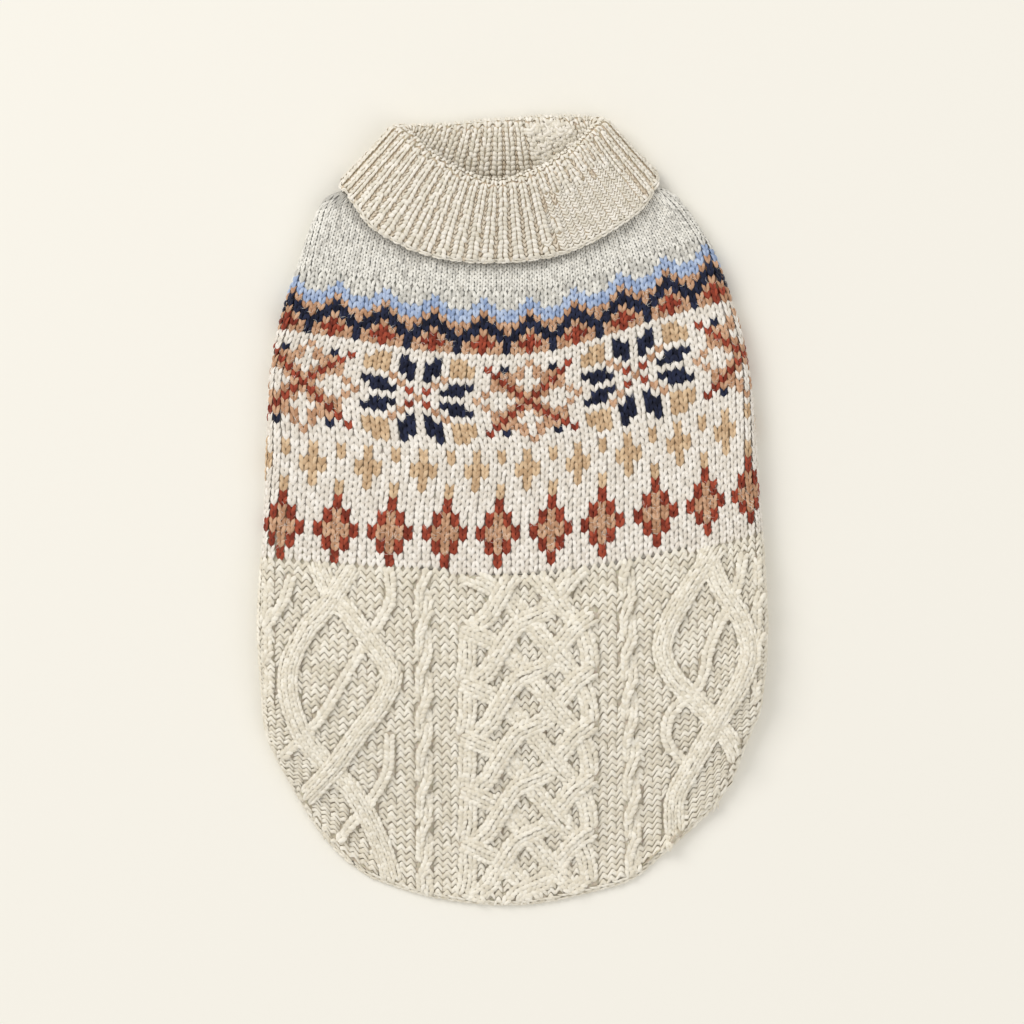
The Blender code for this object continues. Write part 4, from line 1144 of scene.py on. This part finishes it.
skirt_fibres = stray_fibres("skirt_fibres", *spots, pale_fibre)
skirt_pieces = [purl_piece, cable_piece, hem_piece, skirt_fibres]
for stitches in skirt_pieces:
    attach(stitches, "root")

# ------------------------------------------------------------------ underbody
# The plain underbody is a flat wool panel between the two sides, with a leg opening on each
# side of the chest. It is knitted in plain stitches, and each opening is bound off with a chain.
BELLY_END = 0.76          # share of the side edges where the panel ends
BELLY_RISE = 14.0         # its lower edge curves up by this much in the middle
SEAM_GAP = 0.3
LEG_HOLE = (17.0, 24.0)   # half the width and half the length of a leg opening
LEG_PLACES = ((-48.0, 72.0), (40.0, 74.0))
HOLE_SNAP = (0.93, 1.08)  # mesh points this near to an opening's edge, as shares, move onto it
HOLE_BORDER = 1.8         # stitches stop this far outside an opening
PANEL_ROWS, PANEL_COLUMNS = 150, 120
BELLY_WALE = 4.3
BELLY_ROW = 3.5
BELLY_REACH = (118.0, 160.0, -110.0)   # half the width, top and bottom of the field of stitches


def belly_point(share, across):
    """Place on the panel; across runs from 0 at the left seam to 1 at the right one."""
    reach = body("side", share) / 2.0 + body("lip", share) + SEAM_GAP
    left, right = side_point(share, 1, reach), side_point(share, -1, reach)
    place = left * (1 - across[:, None]) + right * across[:, None]
    rise = BELLY_RISE * np.sin(np.pi * across) * (share / BELLY_END)**3
    return place + np.column_stack([np.zeros_like(rise), rise])


def in_leg_hole(x, y, margin):
    """Whether each place lies in a leg opening that is larger by a margin."""
    inside = np.zeros(np.shape(x), bool)
    for centre_x, centre_y in LEG_PLACES:
        inside |= (((x - centre_x) / (LEG_HOLE[0] + margin))**2
                   + ((y - centre_y) / (LEG_HOLE[1] + margin))**2) < 1.0
    return inside


share, across = np.meshgrid(np.linspace(0.0, BELLY_END, PANEL_ROWS),
                            np.linspace(0.0, 1.0, PANEL_COLUMNS), indexing="ij")
flat = belly_point(share.ravel(), across.ravel())
for centre in LEG_PLACES:       # the mesh's lines close up to each opening's edge
    away = (flat - centre) / LEG_HOLE
    reach = np.linalg.norm(away, axis=1)
    near = (reach > HOLE_SNAP[0]) & (reach < HOLE_SNAP[1])
    flat[near] = centre + away[near] / reach[near][:, None] * LEG_HOLE
quads = grid_quads(PANEL_ROWS, PANEL_COLUMNS)
middle = flat[quads].mean(1)
open_quads = quads[~in_leg_hole(middle[:, 0], middle[:, 1], -0.1)]
total = len(flat)
low = np.column_stack([flat, np.full(total, PRESSED_WALL)])
high = np.column_stack([flat, np.full(total, CLOTH)])
sides = [(a, b) for quad in open_quads.tolist() for a, b in zip(quad, quad[1:] + quad[:1])]
known = set(sides)
border = np.array([(a, b) for a, b in sides if (b, a) not in known])
walls = np.stack([border[:, 0], border[:, 0] + total, border[:, 1] + total, border[:, 1]], 1)
faces = np.concatenate([open_quads[:, ::-1], open_quads + total, walls])
points = np.vstack([low, high])
used = np.unique(faces)
renumber = np.zeros(len(points), int)
renumber[used] = np.arange(len(used))
belly_cloth = add_mesh("belly_cloth", points[used], renumber[faces])
# The underbody's cloth is its yarn darkened: painted shade between the stitches
belly_cloth.data.materials.append(ground_wool("belly_ground", colour=(0.84, 0.80, 0.72)))
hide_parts("belly_panel")
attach(belly_cloth, "root")

rows = np.arange(*BELLY_REACH[1:], -BELLY_ROW)
wales = np.arange(-BELLY_REACH[0], BELLY_REACH[0], BELLY_WALE)
x, y = (part.ravel() for part in np.meshgrid(wales, rows))
outline = np.vstack([belly_point(np.linspace(0, BELLY_END, 60), np.zeros(60)),
                     belly_point(np.full(40, BELLY_END), np.linspace(0, 1, 40)),
                     belly_point(np.linspace(BELLY_END, 0, 60), np.ones(60))])


def within(x, y, ring):
    """Whether each place lies inside a closed outline."""
    inside = np.zeros(len(x), bool)
    for (x0, y0), (x1, y1) in zip(ring, np.roll(ring, -1, axis=0)):
        crosses = (y0 > y) != (y1 > y)
        inside ^= crosses & (x < x0 + (y - y0) / np.where(y1 == y0, 1e-9, y1 - y0) * (x1 - x0))
    return inside


keep = within(x, y, outline) & ~in_leg_hole(x, y, HOLE_BORDER)
place = np.column_stack([x[keep], y[keep], np.zeros(keep.sum())])
down = np.tile([0.0, -BELLY_ROW, 0.0], (len(place), 1))
across = np.tile([-BELLY_WALE, 0.0, 0.0], (len(place), 1))
out = np.tile([0.0, 0.0, -1.0], (len(place), 1))
belly_wool = wool("belly_wool", (0.92, 0.88, 0.80), (0.80, 0.74, 0.64), (0.72, 0.64, 0.52))
# The loops of the underside are drawn with every other ring
simple_leg = tube(LEG_PATH[::2], LEG_HALF_WIDTH[::2], LEG_RISE[::2])
belly_loops = legs_of(simple_leg, place, -across, down, out)
belly_stitches = stitches_mesh("belly_stitches", belly_loops, belly_wool)
LEG_CHAIN_LOOPS = 34
LEG_CHAIN_STEP, LEG_CHAIN_WIDTH = 4.0, 3.4
LEG_CHAIN_INSET = 0.9     # the chain lies this far outside the opening's edge
LEG_CHAIN_LEVELS = ((0.1, -1.0), (1.9, 0.7))   # height, and how far the loops face up
chains = []
for centre in LEG_PLACES:
    angle = np.linspace(0.0, 2.0 * math.pi, LEG_CHAIN_LOOPS, endpoint=False)
    ring = np.column_stack([np.cos(angle), np.sin(angle)]) * (np.array(LEG_HOLE) + LEG_CHAIN_INSET)
    ahead = unit(np.column_stack([-np.sin(angle) * LEG_HOLE[0], np.cos(angle) * LEG_HOLE[1]]))
    for level, facing in LEG_CHAIN_LEVELS:
        place = np.column_stack([ring + centre, np.full(LEG_CHAIN_LOOPS, level)])
        down = np.column_stack([ahead * LEG_CHAIN_STEP, np.zeros(LEG_CHAIN_LOOPS)])
        out = np.tile([0.0, 0.0, facing], (LEG_CHAIN_LOOPS, 1))
        chains.append((place, np.cross(unit(down), unit(out)) * LEG_CHAIN_WIDTH, down, out))
leg_chain = stitches_mesh("leg_opening_chain", legs_of(knit_leg, *joined(chains)), belly_wool)
belly_pieces = [belly_stitches, leg_chain]
for stitches in belly_pieces:
    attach(stitches, "root")

# ------------------------------------------------------------------ collar
# A deep ribbed band grows from the neckline, stands up and folds outward over itself. Single
# columns of plain stitches stand between sunk purl furrows, flatter on the right-hand side.
COLLAR_CLOTH = 2.3        # thickness of the band
SEAT_GAP = 0.45           # gap between the band and the yoke
RIB_HEIGHT = 1.5
RIB_COUNT = 52
FOLD_RADIUS = 2.9
STAND_RISE = 0.5          # slope at which the band leaves the neckline
STAND_PULL, FALL_PULL = 0.8, 0.7   # fullness of the band's curves before and after the fold
RIM_TILT = 0.25
STAND_ROWS, TURN_ROWS, FALL_ROWS = 8, 7, 10
YOKE_UNDER_COLLAR = 0.25  # share of the side edges that the fall may lie on
BESIDE = 1.2              # the fall is lifted off places of the yoke that are this near
# Turned edge (x, y, z), then free edge of the fall (x, y, z), once round the neck
COLLAR_STATIONS = np.array([
    (-56.5, 192.0, 13.5, -85.2, 165.8, 8.0),
    (-50.5, 187.6, 21.0, -80.2, 157.6, 15.5),
    (-40.0, 178.0, 25.5, -68.0, 142.6, 18.0),
    (-24.0, 168.3, 28.0, -40.0, 129.8, 19.0),
    (-6.0, 163.9, 29.0, -7.0, 126.8, 19.5),
    (13.0, 170.4, 28.0, 27.0, 131.5, 19.0),
    (30.0, 181.0, 25.0, 55.0, 146.0, 18.0),
    (39.5, 189.8, 20.0, 68.0, 157.6, 15.5),
    (44.0, 195.0, 13.0, 72.0, 169.0, 8.0),
    (39.0, 198.0, 5.4, 66.0, 175.5, 1.5),
    (22.0, 199.0, 4.05, 38.0, 178.0, 1.15),
    (-5.0, 197.3, 4.05, -4.0, 178.0, 1.15),
    (-31.0, 195.0, 4.05, -44.0, 177.0, 1.15),
    (-49.0, 194.0, 5.4, -76.5, 172.5, 1.8),
])
RIGHT_STATION = 8.0       # table row where the back's neckline meets the throat's
SIDE_POINT = 3            # point of the body's grid where a rounded side is widest


class Ring(Line):
    """Closed smooth line, read by its table row with fractions between rows."""

    def __init__(self, points):
        super().__init__(np.vstack([points[-2:], points, points[:3]]))
        self.marks = self.knots[2:len(points) + 3]      # length along the line at each table row

    def lengths(self, station):
        return np.interp(station, np.arange(len(self.marks)), self.marks)

    def at(self, station):
        return through(self.knots, self.points, self.lengths(station))


def read_chain(points, share):
    """Points at shares of the length of a chain of straight pieces."""
    lengths = np.concatenate([[0.0], np.cumsum(np.linalg.norm(np.diff(points, axis=0), axis=1))])
    place = np.asarray(share) * lengths[-1]
    return np.stack([np.interp(place, lengths, points[:, k]) for k in range(points.shape[1])], -1)


def neckline(station, edge_ring):
    """Seam of the band: the body's own neck row, its places closer where the cloth turns."""
    outer, normal = body_grid(np.array([0.0, 0.001]))
    middle = np.concatenate([outer[0] - normal[0] * CLOTH / 2.0, normal[0]], axis=1)
    right_side = len(middle) - 1 - SIDE_POINT
    back = middle[SIDE_POINT:right_side + 1]
    throat = np.vstack([middle[right_side:], middle[:SIDE_POINT + 1]])
    lengths = edge_ring.lengths(station)
    turn, first, last = edge_ring.lengths(RIGHT_STATION), edge_ring.marks[0], edge_ring.marks[-1]
    back_share = np.clip((lengths - first) / (turn - first), 0.0, 1.0)
    throat_share = np.clip((lengths - turn) / (last - turn), 0.0, 1.0)
    seam = np.where((station < RIGHT_STATION)[:, None], read_chain(back, back_share),
                    read_chain(throat, throat_share))
    seam[:, 1] += SEAT_GAP
    return seam[:, :3]


def clear_of_body(points):
    """Lift the places of the fall that would sink into the yoke."""
    outer, normal = body_grid(np.linspace(0.0, YOKE_UNDER_COLLAR, 120))
    outer, normal = outer.reshape(-1, 3), normal.reshape(-1, 3)
    reach = COLLAR_CLOTH / 2.0 + SEAT_GAP
    result = points.copy()
    for k, point in enumerate(points):
        nearest = np.argmin(np.sum((outer - point)**2, axis=1))
        gap = (point - outer[nearest]) @ normal[nearest]
        sideways = np.linalg.norm(point - outer[nearest] - gap * normal[nearest])
        if gap < reach and sideways < BESIDE:
            result[k] = point + normal[nearest] * (reach - gap)
    return result


def collar_surface(station):
    """Middle surface of the band: rows run from the neckline over the fold to the free edge."""
    fold_ring, edge_ring = Ring(COLLAR_STATIONS[:, :3]), Ring(COLLAR_STATIONS[:, 3:])
    fold, edge = fold_ring.at(station), edge_ring.at(station)
    half = COLLAR_CLOTH / 2.0
    edge[:, 2] = np.maximum(edge[:, 2], half)
    seam = neckline(station, edge_ring)
    seam[:, 2] = np.maximum(seam[:, 2], half)
    rim = unit((fold - seam) * np.array([1.0, 1.0, RIM_TILT]))
    tangent = unit(np.roll(fold, -1, axis=0) - np.roll(fold, 1, axis=0))
    out = unit(np.cross(tangent, rim))
    centre = fold - rim * FOLD_RADIUS
    start_turn = centre - out * FOLD_RADIUS
    run = np.linalg.norm(start_turn - seam, axis=1)[:, None]
    leave = unit(np.array([0.0, 1.0, STAND_RISE])) * run * STAND_PULL
    rows = [bend(seam, start_turn, leave, rim * run * STAND_PULL, t)
            for t in np.linspace(0.0, 1.0, STAND_ROWS + 1)[:-1]]
    for a in np.radians(np.linspace(-90.0, 90.0, TURN_ROWS)):
        rows.append(centre + FOLD_RADIUS * (rim * math.cos(a) + out * math.sin(a)))
    end_turn = rows[-1]
    run = np.linalg.norm(edge - end_turn, axis=1)[:, None]
    arrive = unit(edge - end_turn) * run * FALL_PULL
    for t in np.linspace(0.0, 1.0, FALL_ROWS + 1)[1:]:
        row = bend(end_turn, edge, -rim * run * FALL_PULL, arrive, t)
        row[:, 2] = np.maximum(row[:, 2], half)
        rows.append(clear_of_body(row))
    return np.stack(rows)


def rib_stations(count):
    """Table rows, with fractions, that space the ribs round the band, closer at its sides."""
    marks = np.linspace(0.0, 1.0, len(COLLAR_STATIONS) + 1)
    for columns in (COLLAR_STATIONS[:, :3], COLLAR_STATIONS[:, 3:]):
        lengths = Ring(columns).marks
        marks = marks + (lengths - lengths[0]) / (lengths[-1] - lengths[0])
    return np.interp(np.arange(count) / count, marks / 3.0, np.arange(len(marks)))


RIB_POINTS = 6            # points of the band's mesh to a rib: furrow at 0, crown at 3
FLAT_FROM, FLAT_TO, FLAT_FADE = 4.6, 7.2, 0.6   # table rows of the flatter part, and its fading
FLAT_DROP = 0.45          # share of the ribs' height that is missing there
RIBS_FADE = (-0.75, 0.5)  # ribs die away on faces that look down: from this slope, over this much
RIB_IN_CLOTH = 0.8        # share of a rib's height that the cloth has; its loops have the rest
count = RIB_COUNT * RIB_POINTS
station = rib_stations(count)
band = collar_surface(station)
band_around = np.roll(band, -1, axis=1) - np.roll(band, 1, axis=1)
band_along = np.gradient(band, axis=0)
band_out = unit(np.cross(band_along, band_around))
crown = 0.5 - 0.5 * np.cos(2.0 * math.pi * np.arange(count) / RIB_POINTS)
flatness = ease((station - FLAT_FROM) / FLAT_FADE) * ease((FLAT_TO - station) / FLAT_FADE)
showing = ease((band_out[..., 2] - RIBS_FADE[0]) / RIBS_FADE[1])
showing[:STAND_ROWS] = 1.0
rib = RIB_HEIGHT * crown[None] * showing * (1.0 - FLAT_DROP * flatness)[None]
half = COLLAR_CLOTH / 2.0
face = band + band_out * (half - UNDER_STITCHES + RIB_IN_CLOTH * rib)[..., None]
back = band - band_out * half
for layer in (face, back):
    layer[..., 2] = np.maximum(layer[..., 2], PRESSED_WALL)
rows = len(band)
total = rows * count
index = np.arange(total).reshape(rows, count)
onward = np.roll(index, -1, axis=1)
skin = np.stack([index[:-1], index[1:], onward[1:], onward[:-1]], -1).reshape(-1, 4)
first = np.stack([index[0], onward[0], onward[0] + total, index[0] + total], 1)
last = np.stack([index[-1] + total, onward[-1] + total, onward[-1], index[-1]], 1)
collar_cloth = add_mesh("collar_cloth", np.concatenate([face.reshape(-1, 3), back.reshape(-1, 3)]),
                        np.concatenate([skin, skin[:, ::-1] + total, first, last]))
# The band's cloth is its cream yarn darkened: painted shade between the loops
collar_cloth.data.materials.append(ground_wool("collar_ground", colour=(0.88, 0.82, 0.725)))
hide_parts("collar")
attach(collar_cloth, "root")

# The band's loops: ribs in the ladder, the flat part's zigzag in the chevrons, and the furrows
COLLAR_ROW = 2.35
RIB_LEG_PATH = np.array([  # the legs of a rib stand nearly side by side
    (0.15, 0.66, -0.20), (0.19, 0.34, 0.20), (0.235, -0.02, 0.38), (0.27, -0.40, 0.30),
    (0.29, -0.76, -0.20),
])
RIB_LEG_HALF_WIDTH = np.array([0.08, 0.17, 0.205, 0.195, 0.09])
rib_leg = tube(RIB_LEG_PATH, RIB_LEG_HALF_WIDTH, LEG_RISE)
FLAT_ROW = 1.75           # rows of the flat part, which is drawn up closer
FLAT_LOOP = 0.65          # height of its loops beside those of the skirt's purl ground
LOOPS_FROM, LOOPS_TO = 1.0, 0.6    # the loops start and end this far from the band's edges
LOOP_SEAT = 0.25          # how far the loops sink into the band's face
TURN_START = STAND_ROWS   # rows of the band's mesh where the turn over the fold starts and ends
TURN_END = STAND_ROWS + TURN_ROWS - 1
TURN_OVERLAP = 0.02       # the turn's loops run on over this share of the fall
FALL_BLEND = (0.06, 0.4)  # the flat part starts at this share of the fall, and grows over this one
RAGGED = (0.35, 5.0, 9.0) # its border wavers by this much, from column to column and row to row
RIB_SHARE, FLAT_SHARE, FURROW_SHARE = 0.84, 0.5, 0.40   # width of each kind of loop beside a rib
RIM_FILL = 0.55           # share of a rib's width that fills each furrow on the turn
ladder, chevrons, furrows = [], [], []


def column_loops(middle, pitch):
    """Loops down one column of the band: share of the fall, then their directions."""
    steps = np.linalg.norm(np.diff(band[:, middle], axis=0), axis=1)
    lengths = np.concatenate([[0.0], np.cumsum(steps)])
    marks = np.arange(LOOPS_FROM, lengths[-1] - LOOPS_TO, pitch)
    lift = half - LOOP_SEAT + RIB_IN_CLOTH * rib[:, middle]
    line = band[:, middle] + band_out[:, middle] * lift[:, None]
    out = unit(through(lengths, band_out[:, middle], marks))
    down = unit(through(lengths, band_along[:, middle], marks)) * pitch
    spacing = through(lengths, np.linalg.norm(band_around[:, middle], axis=1)[:, None], marks)
    across = unit(np.cross(down, out)) * spacing * RIB_POINTS / 2.0
    fall = (marks - lengths[TURN_END]) / (lengths[-1] - lengths[TURN_END])
    on_turn = (marks > lengths[TURN_START]) & (fall < TURN_OVERLAP)
    return fall, on_turn, through(lengths, line, marks), across, -down, out


for middle in range(0, count, RIB_POINTS // 2):
    crown_here = crown[middle] > 0.5
    for kind, pitch in (("ribbed", COLLAR_ROW), ("flat", FLAT_ROW)):
        fall, on_turn, place, across, down, out = column_loops(middle, pitch)
        blend = flatness[middle] * ease((fall - FALL_BLEND[0]) / FALL_BLEND[1])
        border = 0.5 + RAGGED[0] * np.sin(RAGGED[1] * middle + RAGGED[2] * fall)
        flat_here = blend > border
        if kind == "flat":
            kinds = [(flat_here, FLAT_SHARE, chevrons)]
            if not crown_here:
                kinds.append((on_turn, RIM_FILL, chevrons))
        elif crown_here:
            kinds = [(~flat_here, RIB_SHARE, ladder)]
        else:
            kinds = [(~flat_here & ~on_turn, FURROW_SHARE, furrows)]
        for shown, share, found in kinds:
            found.append([part[shown] for part in (place, across * share, down, out)])
flat_loop = purl_loop * np.array([1.0, 1.0, FLAT_LOOP])
collar_wool = wool("collar_wool", (0.99, 0.97, 0.93), (0.91, 0.885, 0.825), (0.80, 0.72, 0.58))
# Painted shade: the furrows' loops are the collar's cream wool made darker and tanner, as the shade in
# the sunk furrows
furrow_shade_wool = wool("furrow_shade_wool", (0.96, 0.92, 0.85), (0.87, 0.81, 0.72), (0.74, 0.65, 0.52))
rib_groups = legs_of(rib_leg, *joined(ladder), ROPE_SWELL)
flat_groups = [(place_yarn(flat_loop, *joined(chevrons)), purl_quads)]
collar_ribs = stitches_mesh("collar_ribs", rib_groups + flat_groups, collar_wool)
furrow_groups = [(place_yarn(purl_loop, *joined(furrows)), purl_quads)]
collar_furrows = stitches_mesh("collar_furrows", furrow_groups, furrow_shade_wool)

# The band's two ends are joined inside the throat, where the loops bunch up
JOIN_STATION = 10.1
JOIN_HALF_WIDTH = 0.42
JOIN_LOOPS = 90
JOIN_ROWS = (1.0, 8.6)
JOIN_LIFT = (0.4, 0.7)    # least height over the band, and how much more a loop may have
JOIN_TURN = 0.9           # most that a loop there is turned, in radians
JOIN_SIZE = (5.0, 2.6)
JOIN_SWELL = 0.2
near = np.flatnonzero(np.abs(station - JOIN_STATION) < JOIN_HALF_WIDTH)
column = near[rng.integers(0, len(near), JOIN_LOOPS)]
height = rng.uniform(*JOIN_ROWS, JOIN_LOOPS)
low_row = height.astype(int)
part_way = (height - low_row)[:, None]


def on_band(field):
    return field[low_row, column] * (1 - part_way) + field[low_row + 1, column] * part_way


out = unit(on_band(band_out))
place = on_band(band) + out * (half + JOIN_LIFT[0] + JOIN_LIFT[1] * rng.random(JOIN_LOOPS)[:, None])
turn = rng.uniform(-JOIN_TURN, JOIN_TURN, JOIN_LOOPS)[:, None]
along, around = unit(on_band(band_along)), unit(on_band(band_around))
across = (around * np.cos(turn) + along * np.sin(turn)) * JOIN_SIZE[0]
down = (along * np.cos(turn) - around * np.sin(turn)) * JOIN_SIZE[1]
join_groups = [(place_yarn(purl_loop, place, across, down, out, JOIN_SWELL), purl_quads)]
collar_join = stitches_mesh("collar_join", join_groups, collar_wool)

# The free edge is cast off in a chain of loops
CAST_OFF_STEP, CAST_OFF_WIDTH = 3.4, 2.9
CAST_OFF_LEAN = 0.35      # how far the loops lean over the edge
edge_line = Line(np.vstack([face[-1], face[-1][:1]]))
share = (np.arange(int(edge_line.length / CAST_OFF_STEP)) + 0.5) * CAST_OFF_STEP / edge_line.length
place = edge_line(share)
ahead = unit(edge_line(share + 0.003) - edge_line(share - 0.003))
index = (share * count).astype(int) % count
down = ahead * CAST_OFF_STEP
out = unit(band_out[-1][index] + CAST_OFF_LEAN * unit(band_along[-1][index]))
across = np.cross(ahead, out) * CAST_OFF_WIDTH
edge_loops = legs_of(knit_leg, place, across, down, out)
collar_chain = stitches_mesh("collar_cast_off", edge_loops, collar_wool)
collar_pieces = [collar_ribs, collar_furrows, collar_join, collar_chain]
for stitches in collar_pieces:
    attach(stitches, "root")

# ------------------------------------------------------------------ floor, light and camera
# The sweater lies on a pale warm table. A broad soft lamp at the upper left gives most of the
# light, a weaker one opposite fills the shadows, and the camera looks straight down.
TABLE_REACH = 3.0
floor_mesh = bpy.data.meshes.new("floor")
floor_mesh.from_pydata(
    [(x * TABLE_REACH, y * TABLE_REACH, 0.0) for x, y in ((-1, -1), (1, -1), (1, 1), (-1, 1))],
    [], [(0, 1, 2, 3)])
floor = bpy.data.objects.new("floor", floor_mesh)
bpy.context.scene.collection.objects.link(floor)
paper = bpy.data.materials.new("pale_paper")
paper.use_nodes = True
paper_shader = paper.node_tree.nodes["Principled BSDF"]
paper_shader.inputs["Base Color"].default_value = srgb(0.975, 0.966, 0.935)
paper_shader.inputs["Roughness"].default_value = 0.9
paper_shader.inputs["Specular IOR Level"].default_value = 0.1
floor.data.materials.append(paper)

world = bpy.data.worlds.new("soft_room")
world.use_nodes = True
world.node_tree.nodes["Background"].inputs["Color"].default_value = (1.0, 0.985, 0.96, 1.0)
world.node_tree.nodes["Background"].inputs["Strength"].default_value = 0.59
bpy.context.scene.world = world


def soft_lamp(name, place, size, power):
    """A broad square lamp that faces the sweater's middle."""
    lamp = bpy.data.lights.new(name, "AREA")
    lamp.shape = "SQUARE"
    lamp.size = size
    lamp.energy = power
    lamp.color = (1.0, 0.975, 0.94)
    holder = bpy.data.objects.new(name, lamp)
    bpy.context.scene.collection.objects.link(holder)
    direction = -np.array(place)
    yaw = math.atan2(direction[1], direction[0])
    tilt = math.acos(-direction[2] / np.linalg.norm(direction))
    holder.location = place
    holder.rotation_euler = (tilt, 0.0, yaw - math.pi / 2.0)


soft_lamp("window", (-2.5, 2.3, 2.9), 2.4, 91.0)
soft_lamp("fill", (2.2, -1.4, 3.5), 3.0, 31.0)

CAMERA_HEIGHT = 1.5
camera_data = bpy.data.cameras.new("camera")
camera_data.sensor_width = 36.0
camera_data.lens = 103.7
camera = bpy.data.objects.new("camera", camera_data)
bpy.context.scene.collection.objects.link(camera)
camera.location = (-0.00018, -0.00187, CAMERA_HEIGHT)
bpy.context.scene.camera = camera
bpy.context.scene.view_settings.view_transform = "Standard"
